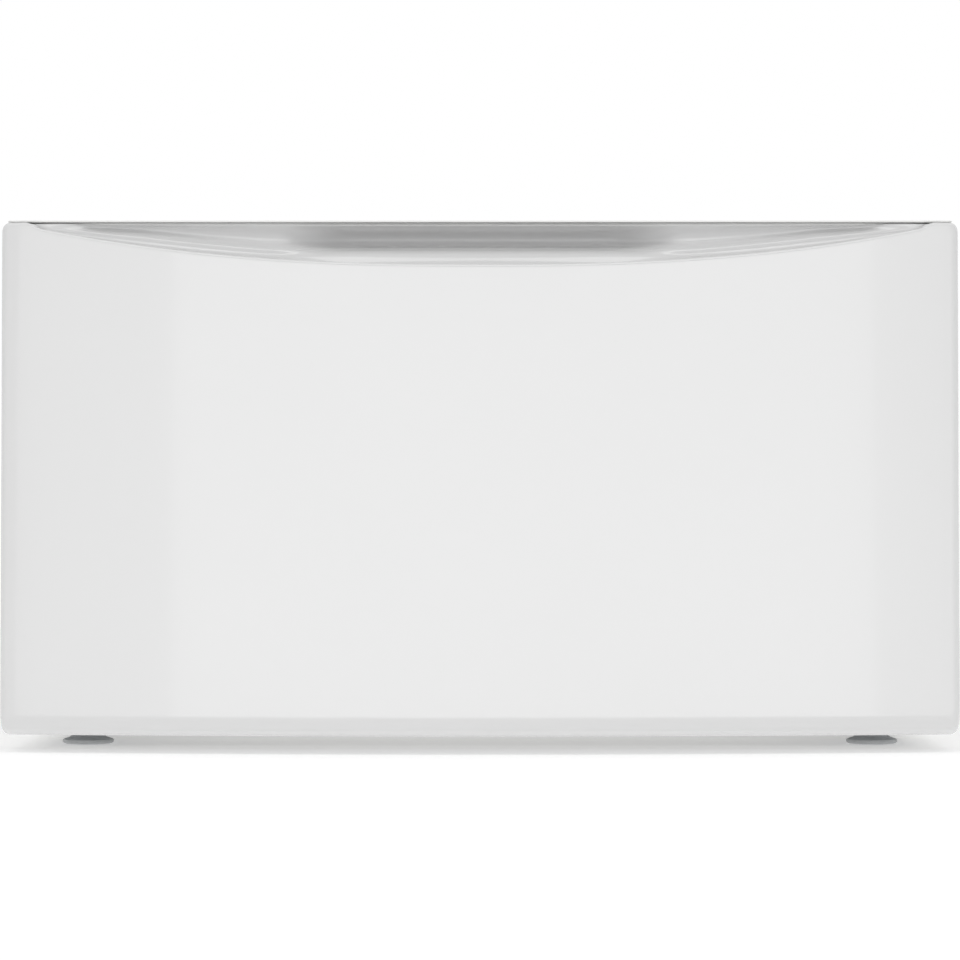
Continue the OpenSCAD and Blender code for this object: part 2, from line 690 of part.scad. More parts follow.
// The right side panel: a wall with two stamped fields and four flanges
module side_panel() {
    mid_y = (cab_front_y + back_in_y) / 2;
    wall_h = deck_bot - panel_r - cab_bot;
    wall_top = cab_bot + wall_h;
    edge = 12;
    low = [cab_floor_z + bracket_leg + edge, slide_z - support_h / 2 - support_tab - edge];
    high = [slide_z + support_h / 2 + support_tab + edge, deck_bot - top_rail_h - edge];
    color(cabinet_white) difference() {
        union() {
            translate([side_x, mid_y, cab_bot + wall_h / 2]) rotate([0, -90, 0])
                stamped_plate(wall_h, back_in_y - cab_front_y, sheet_t,
                    [for (f = [low, high]) [(f[0] + f[1]) / 2 - cab_bot - wall_h / 2, 0,
                        f[1] - f[0], back_in_y - cab_front_y - 130]], field_depth);
            block([side_x - front_flange, cab_front_y, cab_bot],
                [side_x, cab_front_y + sheet_t, wall_top]);
            block([side_x - narrow_flange, back_in_y - sheet_t, cab_bot],
                [side_x, back_in_y, wall_top]);
            // The top is bent over with a radius
            along_y(sheet_outline(concat([[side_x, wall_top - eps]],
                arc([side_x - panel_r, wall_top], panel_r, 0, 90, 6),
                [[side_x - narrow_flange, deck_bot]]), sheet_t), cab_front_y, back_in_y);
            block([side_x - foot_flange, cab_front_y, cab_bot], [side_x, back_in_y, cab_floor_z]);
        }
        for (s = BACK_SCREWS) translate([s[0], back_in_y - 3, s[1]]) rotate([-90, 0, 0])
            cylinder(r = screw_r + hole_clear, h = 6);
    }
}
module left_side_panel() { mirror([1, 0, 0]) side_panel(); }
module right_side_panel() { side_panel(); }

module back_panel() {
    z0 = cab_bot;
    z1 = deck_bot;
    w = 2 * side_x;
    color(cabinet_white) difference() {
        intersection() {
            translate([0, back_out_y, (z0 + z1) / 2]) rotate([90, 0, 0])
                stamped_plate(w, z1 - z0, sheet_t, [for (x = [-w / 4 + 8, w / 4 - 8])
                    [x, 0, w / 2 - 70, z1 - z0 - 110]], field_depth);
            along_y(concat([[-side_x, z0], [side_x, z0]],
                arc([side_x - panel_r, z1 - panel_r], panel_r, 0, 90, 6),
                arc([panel_r - side_x, z1 - panel_r], panel_r, 90, 180, 6)),
                back_out_y - 20, back_out_y + 1);
        }
        for (s = BACK_SCREWS) translate([s[0], back_out_y - 4, s[1]]) rotate([-90, 0, 0])
            cylinder(r = screw_r + hole_clear, h = 6);
    }
}

module back_screws() {
    color(zinc) for (s = BACK_SCREWS) translate([s[0], back_out_y, s[1]])
        rotate([0, 0, -90]) screw_x(screw_head_r, screw_head_h, screw_r, 2 * sheet_t + 3);
}

deck_corner_r = 5;
deck_end_inset = 4;

// The bent edges of the deck from the angle a0 at +X to its mirror image at -X
function deck_bend(a0) = let (x = overall_w / 2 - deck_edge_r, z = overall_h - deck_edge_r)
    concat(arc([x, z], deck_edge_r, a0, 90, 6), arc([-x, z], deck_edge_r, 90, 180 - a0, 6));

// The nose over the drawer front, with round corners
module deck_nose() {
    nose_x = overall_w / 2 - deck_end_inset;
    y0 = deck_front_y + deck_corner_r;
    y1 = cab_front_y + 1;
    intersection() {
        along_y(sheet_outline(deck_bend(45), deck_t), deck_front_y, y1);
        translate([0, 0, deck_bot - deck_edge_r]) linear_extrude(2 * deck_edge_r) polygon(concat(
            [[nose_x, y1], [-nose_x, y1]],
            arc([deck_corner_r - nose_x, y0], deck_corner_r, 180, 270, 6),
            arc([nose_x - deck_corner_r, y0], deck_corner_r, 270, 360, 6)));
    }
}

module top_deck() {
    deck_back = back_out_y;
    half = overall_w / 2;
    rib_len = bolt_span_y - 150;
    color(white) difference() {
        union() {
            // The plate with long ribs stamped downwards
            translate([0, (cab_front_y + deck_back) / 2, overall_h]) rotate([180, 0, 0])
                stamped_plate(overall_w - 2 * deck_edge_r, deck_back - cab_front_y, deck_t,
                    [for (i = [-2:2]) [i * 104, 0, 56, rib_len]], field_depth);
            deck_nose();
            // The bent edges and the side skirts
            for (m = [0, 1]) mirror([m, 0, 0]) along_y(sheet_outline(concat(
                [[half, deck_bot - skirt_h]], arc([half - deck_edge_r, overall_h - deck_edge_r],
                deck_edge_r, 0, 90, 6), [[half - 2 * deck_edge_r, overall_h]]), deck_t),
                cab_front_y, deck_back);
            for (b = BOLTS) translate([b[0], b[1], overall_h - bolt_seat_depth - deck_t])
                cylinder(r1 = bolt_seat_r + deck_t - bolt_seat_depth, r2 = bolt_seat_r + deck_t,
                    h = bolt_seat_depth);
        }
        for (b = BOLTS) translate([b[0], b[1], 0]) {
            translate([0, 0, overall_h - bolt_seat_depth])
                cylinder(r1 = bolt_seat_r - bolt_seat_depth, r2 = bolt_seat_r,
                    h = bolt_seat_depth + eps);
            translate([0, 0, overall_h - 20]) cylinder(r = bolt_hole_r, h = 30);
        }
    }
}

// A rail folded from sheet to a C, open to the rear when d is positive
module c_rail(y, d, z0, z1, x) {
    color(cabinet_white) along_x(sheet_outline(
        [[y + d, z1], [y, z1], [y, z0], [y + d, z0]], d > 0 ? sheet_t : -sheet_t), -x, x);
}

module front_top_rail() {
    c_rail(cab_front_y + sheet_t, rail_d, deck_bot - top_rail_h, deck_bot,
        side_x - narrow_flange - fit);
}
module rear_top_rail() {
    c_rail(back_in_y - sheet_t, -rail_d / 2, deck_bot - top_rail_h, deck_bot,
        side_x - narrow_flange - fit);
}
module front_bottom_rail() {
    c_rail(cab_front_y + sheet_t, rail_d, cab_floor_z, cab_floor_z + bottom_rail_h, side_in_x);
}
module rear_bottom_rail() {
    c_rail(back_in_y - sheet_t, -rail_d / 2, cab_floor_z, cab_floor_z + bottom_rail_h, side_in_x);
}

// A hat section that carries the slide ahead of the side panel
module slide_support() {
    z0 = slide_z - support_h / 2;
    z1 = slide_z + support_h / 2;
    tab_x = side_in_x - support_t;
    color(zinc) difference() {
        along_y(sheet_outline([[tab_x, z0 - support_tab], [tab_x, z0], [support_x, z0],
            [support_x, z1], [tab_x, z1], [tab_x, z1 + support_tab]], -support_t),
            slide_front_y, slide_back_y);
        for (y = rail_screw_y) translate([support_x - 1, y, slide_z]) rotate([0, 90, 0])
            cylinder(r = screw_r + hole_clear, h = support_t + 2);
    }
}
module left_slide_support() { mirror([1, 0, 0]) slide_support(); }
module right_slide_support() { slide_support(); }

module slide_rivets() {
    color(zinc) for (m = [0, 1], y = rail_screw_y) mirror([m, 0, 0])
        translate([support_x + support_t, y, slide_z]) mirror([1, 0, 0])
            screw_x(screw_head_r, screw_head_h, screw_r, support_t + rail_t);
}

// ---------- feet ----------
bracket_t = 3;
bracket_z = cab_floor_z;
bracket_half = 30;
bracket_leg = 34;
lock_nut_h = 4.6;
weld_nut_h = 8;
stud_end_z = 4;
collar_h = 3.6;

module foot_brackets() {
    color(zinc) for (m = [0, 1], y = [foot_front_y, foot_rear_y]) mirror([m, 0, 0]) difference() {
        along_y(sheet_outline([[foot_x - 24, bracket_z], [side_in_x, bracket_z],
            [side_in_x, bracket_z + bracket_leg]], bracket_t), y - bracket_half,
            y + bracket_half);
        translate([foot_x, y, bracket_z - 1]) cylinder(r = stud_r + 0.4, h = bracket_t + 2);
    }
}

module weld_nuts() {
    color(dark_zinc) for (f = FEET) translate([f[0], f[1], bracket_z + bracket_t])
        hex_nut(nut_af, weld_nut_h, stud_r + thread_clear);
}

module lock_nuts() {
    color(dark_zinc) for (f = FEET) translate([f[0], f[1], bracket_z - lock_nut_h])
        hex_nut(nut_af, lock_nut_h, stud_r + thread_clear);
}

// A moulded pad with a socket for the end of the stud
module foot_pad(i) {
    socket_z = stud_end_z - 0.1;
    color(pad_grey) translate([FEET[i][0], FEET[i][1], 0]) rotate_extrude()
        polygon([[0, 0], [pad_d / 2 - 1.5, 0], [pad_d / 2, 1.5], [pad_d / 2, 3.5],
            [pad_d / 2 - 5, 5], [stud_r + 5, pad_h], [stud_r + hole_clear, pad_h],
            [stud_r + hole_clear, socket_z], [0, socket_z]]);
}

// A levelling stud with a hexagonal collar above the pad
module foot_stud(i) {
    color(zinc) translate([FEET[i][0], FEET[i][1], 0]) union() {
        translate([0, 0, stud_end_z]) cylinder(r = stud_r, h = stud_top - stud_end_z - 1);
        translate([0, 0, stud_top - 1]) cylinder(r1 = stud_r, r2 = stud_r - 1, h = 1);
        translate([0, 0, pad_h + 0.2]) cylinder(r = stud_r + 2.2, h = collar_h, $fn = 6);
    }
}

module front_left_foot_pad() { foot_pad(0); }
module rear_left_foot_pad() { foot_pad(1); }
module front_right_foot_pad() { foot_pad(2); }
module rear_right_foot_pad() { foot_pad(3); }
module front_left_foot_stud() { foot_stud(0); }
module rear_left_foot_stud() { foot_stud(1); }
module front_right_foot_stud() { foot_stud(2); }
module rear_right_foot_stud() { foot_stud(3); }

left_side_panel();
right_side_panel();
back_panel();
top_deck();
front_top_rail();
rear_top_rail();
front_bottom_rail();
rear_bottom_rail();
foot_brackets();
weld_nuts();
lock_nuts();
left_slide_support();
right_slide_support();
left_outer_rail();
right_outer_rail();
slide_rivets();
back_screws();
left_outer_cage();
left_outer_balls();
right_outer_cage();
right_outer_balls();
left_middle_rail();
right_middle_rail();
left_inner_cage();
left_inner_balls();
right_inner_cage();
right_inner_balls();
left_inner_rail();
right_inner_rail();
left_release_lever();
right_release_lever();
drawer_front();
finger_pull();
front_inner_panel();
box_front();
box_left_side();
box_right_side();
box_back();
box_floor();
box_screws();
front_screws();
drawer_bumpers();
front_left_foot_pad();
front_left_foot_stud();
front_right_foot_pad();
front_right_foot_stud();
rear_left_foot_pad();
rear_left_foot_stud();
rear_right_foot_pad();
rear_right_foot_stud();
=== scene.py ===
"""Dresses a laundry pedestal: a bowed gloss drawer front with a finger pull, on a steel cabinet."""

import logging
import math
from collections.abc import Callable, Iterable
from dataclasses import dataclass
from enum import Enum
from functools import cache

import bpy
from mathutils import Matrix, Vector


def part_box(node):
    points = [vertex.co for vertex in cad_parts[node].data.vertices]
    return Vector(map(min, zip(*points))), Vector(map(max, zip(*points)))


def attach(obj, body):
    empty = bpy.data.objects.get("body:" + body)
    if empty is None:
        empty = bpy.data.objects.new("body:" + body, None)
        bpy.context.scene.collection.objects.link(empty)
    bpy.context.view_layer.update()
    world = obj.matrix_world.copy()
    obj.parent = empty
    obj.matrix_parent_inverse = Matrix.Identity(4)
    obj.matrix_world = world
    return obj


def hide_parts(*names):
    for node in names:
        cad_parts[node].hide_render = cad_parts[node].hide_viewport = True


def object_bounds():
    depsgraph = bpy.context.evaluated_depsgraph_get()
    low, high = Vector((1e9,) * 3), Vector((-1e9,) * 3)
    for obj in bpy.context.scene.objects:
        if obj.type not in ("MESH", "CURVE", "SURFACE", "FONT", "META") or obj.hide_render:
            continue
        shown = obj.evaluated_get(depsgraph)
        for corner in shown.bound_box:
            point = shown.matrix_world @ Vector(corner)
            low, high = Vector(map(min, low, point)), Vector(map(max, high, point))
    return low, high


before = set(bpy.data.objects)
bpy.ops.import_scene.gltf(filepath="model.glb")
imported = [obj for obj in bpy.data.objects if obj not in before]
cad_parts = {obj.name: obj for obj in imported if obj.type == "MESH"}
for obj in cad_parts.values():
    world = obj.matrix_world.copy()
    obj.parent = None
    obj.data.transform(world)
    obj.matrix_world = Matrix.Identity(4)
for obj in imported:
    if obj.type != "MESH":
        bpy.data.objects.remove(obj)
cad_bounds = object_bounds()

Pair = tuple[float, float]
Point = tuple[float, float, float]
Move = Callable[[Point], Point]

MM = 0.001
TO_LEFT, TO_RIGHT = (-1.0, 0.0, 0.0), (1.0, 0.0, 0.0)
TO_FRONT, TO_REAR = (0.0, -1.0, 0.0), (0.0, 1.0, 0.0)
UP = (0.0, 0.0, 1.0)
CAD_DEPTH = cad_bounds[1][1] - cad_bounds[0][1]
LOG = logging.getLogger("pedestal")


# ---- colour and nodes


def linear(hex_colour: str) -> tuple[float, float, float, float]:
    """Turns an sRGB hex colour to linear RGBA.

    Args:
        hex_colour: six hex digits, such as "ECECEB".

    Returns:
        The colour as red, green, blue and an alpha of 1.
    """
    parts = [int(hex_colour[i : i + 2], 16) / 255 for i in (0, 2, 4)]
    toe, gamma = 0.04045, 2.4
    red, green, blue = (c / 12.92 if c <= toe else ((c + 0.055) / 1.055) ** gamma for c in parts)
    return red, green, blue, 1.0


def blank_tree(owner: bpy.types.Material | bpy.types.World) -> bpy.types.NodeTree:
    """Empties the node tree of a material or world.

    Args:
        owner: the material or world.

    Returns:
        Its tree, without nodes.
    """
    owner.use_nodes = True
    owner.node_tree.nodes.clear()
    return owner.node_tree


def add_node(tree: bpy.types.NodeTree, kind: str, settings: dict | None = None,
             links: dict | None = None) -> bpy.types.Node:
    """Adds a node with its settings and its incoming links.

    Args:
        tree: the node tree that gets the node.
        kind: the node's Blender type name.
        settings: attributes by name; a key that is a socket's name or index sets its value.
        links: an output socket for each input's name or index.

    Returns:
        The new node.
    """
    node = tree.nodes.new(kind)
    for key, value in (settings or {}).items():
        if isinstance(key, int) or key in node.inputs:
            node.inputs[key].default_value = value
        else:
            setattr(node, key, value)
    for key, source in (links or {}).items():
        tree.links.new(source, node.inputs[key])
    return node


# ---- finishes


@dataclass(frozen=True)
class Finish:
    """A real material with its surface: colours, gloss, and a fine relief."""

    name: str  # the material's common name and how its surface was made
    colour: str  # sRGB hex
    drift: str  # sRGB hex colour that the first drifts to in soft patches
    roughness: float
    roughness_spread: float  # how far the roughness strays from its middle
    metallic: float = 0.0
    ior: float = 1.5  # a metal keeps the default
    coat: float = 0.0  # weight of a clear top layer
    grain_mm: float = 2.0  # size of the relief's bumps
    grain_depth_mm: float = 0.01
    stretch: Point = (1.0, 1.0, 1.0)  # how the relief is drawn out along X, Y and Z
    patch_mm: float = 120.0  # size of the soft patches of colour
    slot: str = ""  # the record's slot, for a finish that new pieces take

    def build(self) -> bpy.types.Material:
        """Makes the node material.

        Returns:
            The new material.
        """
        made = bpy.data.materials.new(self.name)
        tree = blank_tree(made)
        place = add_node(tree, "ShaderNodeTexCoord").outputs["Object"]
        drawn = add_node(tree, "ShaderNodeMapping", {"Scale": self.stretch}, {"Vector": place})
        patches = add_node(tree, "ShaderNodeTexNoise",
                           {"Scale": 1 / (self.patch_mm * MM), "Detail": 2.0}, {"Vector": place})
        grain = add_node(tree, "ShaderNodeTexNoise",
                         {"Scale": 1 / (self.grain_mm * MM), "Detail": 3.0},
                         {"Vector": drawn.outputs[0]})
        colour = add_node(tree, "ShaderNodeMix",
                          {"data_type": "RGBA", 6: linear(self.colour), 7: linear(self.drift)},
                          {0: patches.outputs["Fac"]})
        rough = add_node(tree, "ShaderNodeMapRange",
                         {"To Min": self.roughness - self.roughness_spread,
                          "To Max": self.roughness + self.roughness_spread},
                         {"Value": grain.outputs["Fac"]})
        relief = add_node(tree, "ShaderNodeBump",
                          {"Strength": 1.0, "Distance": self.grain_depth_mm * MM},
                          {"Height": grain.outputs["Fac"]})
        shader = add_node(tree, "ShaderNodeBsdfPrincipled",
                          {"Metallic": self.metallic, "IOR": self.ior, "Coat Weight": self.coat},
                          {"Base Color": colour.outputs[2], "Roughness": rough.outputs[0],
                           "Normal": relief.outputs[0]})
        add_node(tree, "ShaderNodeOutputMaterial", None, {"Surface": shader.outputs[0]})
        return made


class Finishes(Enum):
    """Every finish on the pedestal, by the part of it that carries it."""

    # Moulded ABS from a polished tool: the front mirrors the room faintly, with hardly any peel
    FRONT = Finish("abs_high_gloss_white", "E0E0E0", "DEDEDE", 0.15, 0.01, ior=1.53, coat=1.0,
                   grain_mm=6.0, grain_depth_mm=0.004, slot="front_gloss_white")
    # Enamel baked on steel: glassy with a slow peel
    DECK = Finish("steel_baked_enamel_white", "ECECEA", "E8E8E6", 0.2, 0.03, grain_mm=4.0,
                  grain_depth_mm=0.012, slot="deck_enamel")
    # Powder coat on steel: satin with a fine orange peel
    CABINET = Finish("steel_powder_coat_white", "E8E8E6", "E3E3E1", 0.38, 0.05, grain_mm=1.4,
                     grain_depth_mm=0.02, slot="cabinet_powder_coat")
    # The same coat on the drawer box: a little duller from use
    BOX = Finish("steel_powder_coat_box", "E6E6E4", "DFDFDD", 0.42, 0.06, grain_mm=1.4,
                 grain_depth_mm=0.02, slot="box_powder_coat")
    # Bright zinc plate on rolled steel: drawn along the rolling, with faint spangle
    ZINC = Finish("steel_zinc_plated_rolled", "C3C7CB", "AEB3B8", 0.33, 0.08, metallic=1.0,
                  grain_mm=1.2, grain_depth_mm=0.003, stretch=(8.0, 0.6, 8.0), patch_mm=14.0)
    # Cold rolled strip, oiled: darker, with soft streaks along it
    CAGE = Finish("steel_cold_rolled_oiled", "8E9297", "7B7F84", 0.36, 0.07, metallic=1.0,
                  grain_mm=0.8, grain_depth_mm=0.002, stretch=(8.0, 0.6, 8.0), patch_mm=9.0)
    # Ground and polished bearing steel: small sharp glints
    BALLS = Finish("bearing_steel_polished", "DADCDF", "CFD1D4", 0.08, 0.02, metallic=1.0,
                   grain_mm=0.6, grain_depth_mm=0.001, patch_mm=3.0, slot="ball_steel")
    # Zinc plate on screws and nuts: slightly yellowed, with an uneven shine
    FASTENER = Finish("steel_zinc_plated_screw", "B9BBBD", "A6A79F", 0.3, 0.08, metallic=1.0,
                      grain_mm=0.5, grain_depth_mm=0.004, patch_mm=4.0, slot="fastener_zinc")
    # Moulded nylon with a spark-eroded grain: an even matt black
    NYLON = Finish("nylon_moulded_black", "202124", "292A2E", 0.5, 0.08, ior=1.53,
                   grain_mm=0.35, grain_depth_mm=0.02, patch_mm=10.0)
    # Moulded polypropylene: pale grey and a little waxy
    PAD = Finish("polypropylene_moulded_pale_grey", "CDCFD0", "C5C7C8", 0.48, 0.08, ior=1.49,
                 grain_mm=0.6, grain_depth_mm=0.02, patch_mm=12.0, slot="pad_plastic")
    # Moulded rubber: a dull black that hardly shines
    RUBBER = Finish("rubber_moulded_black", "1E1E1F", "262627", 0.7, 0.1, ior=1.52,
                    grain_mm=0.5, grain_depth_mm=0.03, patch_mm=8.0, slot="bumper_rubber")


@cache
def material_of(finish: Finishes) -> bpy.types.Material:
    """Gives the material of a finish, built the first time it is asked for."""
    return finish.value.build()


# ---- meshes


def add_object(name: str, data: bpy.types.ID) -> bpy.types.Object:
    """Puts an object in the scene.

    Args:
        name: its name.
        data: its mesh, lamp or camera.

    Returns:
        The new object.
    """
    made = bpy.data.objects.new(name, data)
    bpy.context.scene.collection.objects.link(made)
    return made


class Shell:
    """The points and faces of a closed shape while it is made."""

    def __init__(self) -> None:
        """Starts with no point and no face."""
        self.points: list[Point] = []
        self.faces: list[tuple[int, ...]] = []

    def row(self, points: Iterable[Point]) -> list[int]:
        """Adds a row of points.

        Args:
            points: the points, in metres.

        Returns:
            Their indices.
        """
        start = len(self.points)
        self.points += points
        return list(range(start, len(self.points)))

    def strips(self, rows: list[list[int]], closed: bool = False) -> None:
        """Joins each row of points to the next with quads.

        Args:
            rows: the rows, as indices.
            closed: whether each row is a ring.
        """
        for a, b in zip(rows, rows[1:]):
            last = len(a) if closed else len(a) - 1
            pairs = [(i, (i + 1) % len(a)) for i in range(last)]
            self.faces += [(a[i], a[k], b[k], b[i]) for i, k in pairs]

    def loft(self, rings: list[list[int]]) -> None:
        """Joins rings and caps both ends.

        Args:
            rings: the rings, as indices.
        """
        self.strips(rings, closed=True)
        self.faces += [tuple(reversed(rings[0])), tuple(rings[-1])]

    def add(self, other: "Shell", move: Move) -> None:
        """Adds a moved copy of another shape.

        Args:
            other: the shape.
            move: gives a point's new place.
        """
        start = len(self.points)
        self.points += [move(point) for point in other.points]
        self.faces += [tuple(k + start for k in face) for face in other.faces]

    def piece(self, name: str, material: bpy.types.Material,
              sharp_deg: float = 32.0) -> bpy.types.Object:
        """Makes a smooth shaded mesh object with sharp edges where faces turn hard.

        Args:
            name: the piece's name.
            material: its material.
            sharp_deg: the turn from which an edge is sharp.

        Returns:
            The new object.
        """
        mesh = bpy.data.meshes.new(name)
        mesh.from_pydata(self.points, [], self.faces)
        mesh.validate()
        mesh.materials.append(material)
        mesh.shade_smooth()
        mesh.set_sharp_from_angle(angle=math.radians(sharp_deg))
        return add_object(name, mesh)


def settle(shell: Shell, name: str, finish: Finishes, body: str, node: str,
           sharp_deg: float = 32.0) -> None:
    """Makes a piece that rides on a CAD body and stands for a CAD node.

    Args:
        shell: its shape.
        name: its name.
        finish: its finish.
        body: the body that carries it.
        node: the node that it stands for.
        sharp_deg: the turn from which an edge is sharp.
    """
    piece = shell.piece(name, material_of(finish), sharp_deg)
    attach(piece, body)
    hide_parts(node)
    LOG.info("%s: %d faces, on %s", name, len(shell.faces), body)


def smooth_step(low: float, high: float, value: float) -> float:
    """Rises softly from 0 at low to 1 at high."""
    share = min(1.0, max(0.0, (value - low) / (high - low)))
    return share * share * (3 - 2 * share)


def blend(a: float, b: float, share: float) -> float:
    """Mixes two values."""
    return a * (1 - share) + b * share


def roll(distance: float, radius: float, power: float = 2.0) -> float:
    """Gives how far a rounded edge falls away at a distance from the edge.

    Args:
        distance: how far the point lies from the edge.
        radius: size of the rounding.
        power: 2 for a round edge; more makes it start softer and turn tighter.

    Returns:
        How far the surface lies behind the flat.
    """
    share = min(1.0, max(0.0, 1 - distance / radius))
    return radius * (1 - (1 - share**power) ** (1 / power))


def smooth_path(knots: list[Pair], steps: int) -> list[Pair]:
    """Draws a smooth curve through knots.

    Args:
        knots: the points to pass.
        steps: points from one knot to the next.

    Returns:
        The curve's points, ends included.
    """
    last = len(knots) - 1
    points = []
    for i in range(last):
        a, b, c, e = (knots[k] for k in (max(0, i - 1), i, i + 1, min(last, i + 2)))
        for k in range(steps):
            t = k / steps
            points.append(tuple(
                0.5 * (2 * q + (r - p) * t + (2 * p - 5 * q + 4 * r - s) * t * t
                       + (3 * q - 3 * r + s - p) * t**3)
                for p, q, r, s in zip(a, b, c, e)))
    return points + [knots[last]]


def offset_path(path: list[Pair], distance: float) -> list[Pair]:
    """Moves an open path to its left, mitred at its corners.

    Args:
        path: its points.
        distance: how far it moves.

    Returns:
        The new points.
    """
    moved = []
    for i, point in enumerate(path):
        before = path[max(0, i - 1)], path[max(1, i)]
        after = path[min(i, len(path) - 2)], path[min(i + 1, len(path) - 1)]
        normals = []
        for start, end in (before, after):
            length = math.dist(start, end)
            normals.append((-(end[1] - start[1]) / length, (end[0] - start[0]) / length))
        (ax, ay), (bx, by) = normals
        scale = distance / (1 + ax * bx + ay * by)
        moved.append((point[0] + scale * (ax + bx), point[1] + scale * (ay + by)))
    return moved


# ---- drawer front


@dataclass
class FrontShape:
    """The bowed, leaning face of the drawer front and its lip, in metres."""

    low: Point  # lowest corner of the front's box
    high: Point  # highest corner of the front's box
    bow: float = 30 * MM  # how far the middle stands ahead of the ends
    lean: float = 13.5 * MM  # how far the face leans back over its height
    corner: float = 6.5 * MM  # radius of the corners, seen from ahead
    foot_roll: float = 15 * MM  # height of the roll along the foot
    foot_front: float = 13.4 * MM  # height over the foot where the face stands furthest forward
    side_roll: float = 4 * MM  # radius of the upright edges
    lip_roll: float = 1.8 * MM  # how far the lip rolls back
    lip_height: float = 2.4 * MM  # height over which it rolls back
    lip_mid: float = 31.2 * MM  # drop of the lip in the middle
    lip_end: float = 4.2 * MM  # drop of the lip where it runs out
    lip_inset: float = 27 * MM  # place of the lip's ends, in from the edges
    lip_run: float = 9 * MM  # width over which the edge then rises to the top
    lip_power: float = 2.42  # how flat the lip is in the middle

    @property
    def half(self) -> float:
        """Half the width of the front."""
        return (self.high[0] - self.low[0]) / 2

    @property
    def lip_half(self) -> float:
        """Half the width over which the lip dips."""
        return self.half - self.lip_inset

    def bow_at(self, x: float) -> float:
        """Gives how far the face lies behind its middle at x."""
        radius = (self.half**2 + self.bow**2) / (2 * self.bow)
        return radius - math.sqrt(radius**2 - x**2)

    def face_y(self, x: float, z: float) -> float:
        """Gives the face's place at x and z."""
        slope = self.lean / (self.high[2] - self.low[2])
        return -CAD_DEPTH / 2 + self.bow_at(x) + slope * (z - self.low[2] - self.foot_front)

    def corner_rise(self, x: float) -> float:
        """Gives how far a corner's arc has left the edge at x."""
        over = max(0.0, abs(x) - (self.half - self.corner))
        return self.corner - math.sqrt(max(0.0, self.corner**2 - over**2))

    def lip_drop(self, x: float) -> float:
        """Gives the lip's drop below the top at x."""
        share = (abs(x) / self.lip_half) ** self.lip_power
        return self.lip_mid - (self.lip_mid - self.lip_end) * share

    def top_drop(self, x: float) -> float:
        """Gives the upper edge's drop below the top at x."""
        past = smooth_step(0.0, self.lip_run, abs(x) - self.lip_half)
        return max(self.lip_drop(x) * (1 - past), self.corner_rise(x))


@dataclass
class FrontSkin:
    """The outer moulding of the drawer front, open at the back and along the lip."""

    shape: FrontShape
    wall: float = 2.4 * MM
    columns: int = 180  # strips across the flat part
    rows: int = 60  # strips up the flat part
    corner_steps: int = 12  # strips round each rolled edge
    foot_power: float = 2.8  # how softly the roll along the foot starts
    lip_share: float = 0.15  # share of the wall by which the inner face ends below the lip

    def across(self) -> list[float]:
        """Gives the places of the columns across the front, closer at its corners.

        Returns:
            Their places along X.
        """
        s, n = self.shape, self.corner_steps
        flat = s.half - s.corner
        side = [flat + s.corner * math.sin(math.pi / 2 * i / n) for i in range(1, n + 1)]
        middle = [-flat + 2 * flat * i / self.columns for i in range(self.columns + 1)]
        return [-x for x in reversed(side)] + middle + side

    def column(self, x: float, inset: float) -> list[Point]:
        """Gives one column of points up the face.

        Args:
            x: the column's place on the outer face.
            inset: 0 for the outer face, the wall for the inner one.

        Returns:
            The points from the foot to the upper edge.
        """
        s, n = self.shape, self.corner_steps
        foot = s.low[2] + inset + s.corner_rise(x)
        at_corner = abs(x) > s.half - s.corner + 0.01 * MM  # with room for rounding
        head = s.high[2] - s.top_drop(x) - inset * (1.0 if at_corner else self.lip_share)
        foot_roll = s.foot_roll - inset
        turns = [1 - math.cos(math.pi / 2 * i / n) for i in range(n + 1)]
        low, high = foot + foot_roll, head - s.lip_height
        heights = [foot + foot_roll * t for t in turns]
        heights += [blend(low, high, i / self.rows) for i in range(1, self.rows)]
        heights += [head - s.lip_height * t for t in reversed(turns)]
        points = []
        for z in heights:
            y = inset + s.face_y(x, z) + roll(z - foot, foot_roll, self.foot_power)
            y += 0.0 if inset else roll(head - z, s.lip_height) * s.lip_roll / s.lip_height
            y += roll(s.half - abs(x), s.side_roll - inset / 2)
            points.append((x * (s.half - inset) / s.half, y, z))
        return points

    def rim(self, grid: list[list[int]]) -> list[int]:
        """Follows a grid's edge from one top corner down, along the foot and up to the other.

        Args:
            grid: the columns, as indices.

        Returns:
            The edge, as indices.
        """
        n = self.corner_steps
        left = [column[-1] for column in reversed(grid[1 : n + 1])] + list(reversed(grid[0]))
        foot = [column[0] for column in grid[1:-1]]
        right = list(grid[-1]) + [column[-1] for column in reversed(grid[-n - 1 : -1])]
        return left + foot + right

    def build(self) -> None:
        """Makes the moulding as one closed shell."""
        shell = Shell()
        outer, inner = ([shell.row(self.column(x, inset)) for x in self.across()]
                        for inset in (0.0, self.wall))
        for a, b in zip(outer, outer[1:]):
            shell.faces += [(a[j], b[j], b[j + 1], a[j + 1]) for j in range(len(a) - 1)]
        shell.strips(inner)
        rims = [self.rim(outer), self.rim(inner)]
        back = self.shape.high[1]
        behind = [shell.row([(shell.points[k][0], back, shell.points[k][2]) for k in rim])
                  for rim in rims]
        shell.strips([rims[0], *behind, rims[1]])
        first, last = ((rims[0][end], rims[1][end], behind[1][end], behind[0][end])
                       for end in (0, -1))
        shell.faces += [first, tuple(reversed(last))]
        n = self.corner_steps
        shell.strips([[column[-1] for column in grid[n:-n]] for grid in (outer, inner)])
        settle(shell, "drawer_front_moulding", Finishes.FRONT, "drawer", "drawer_front")


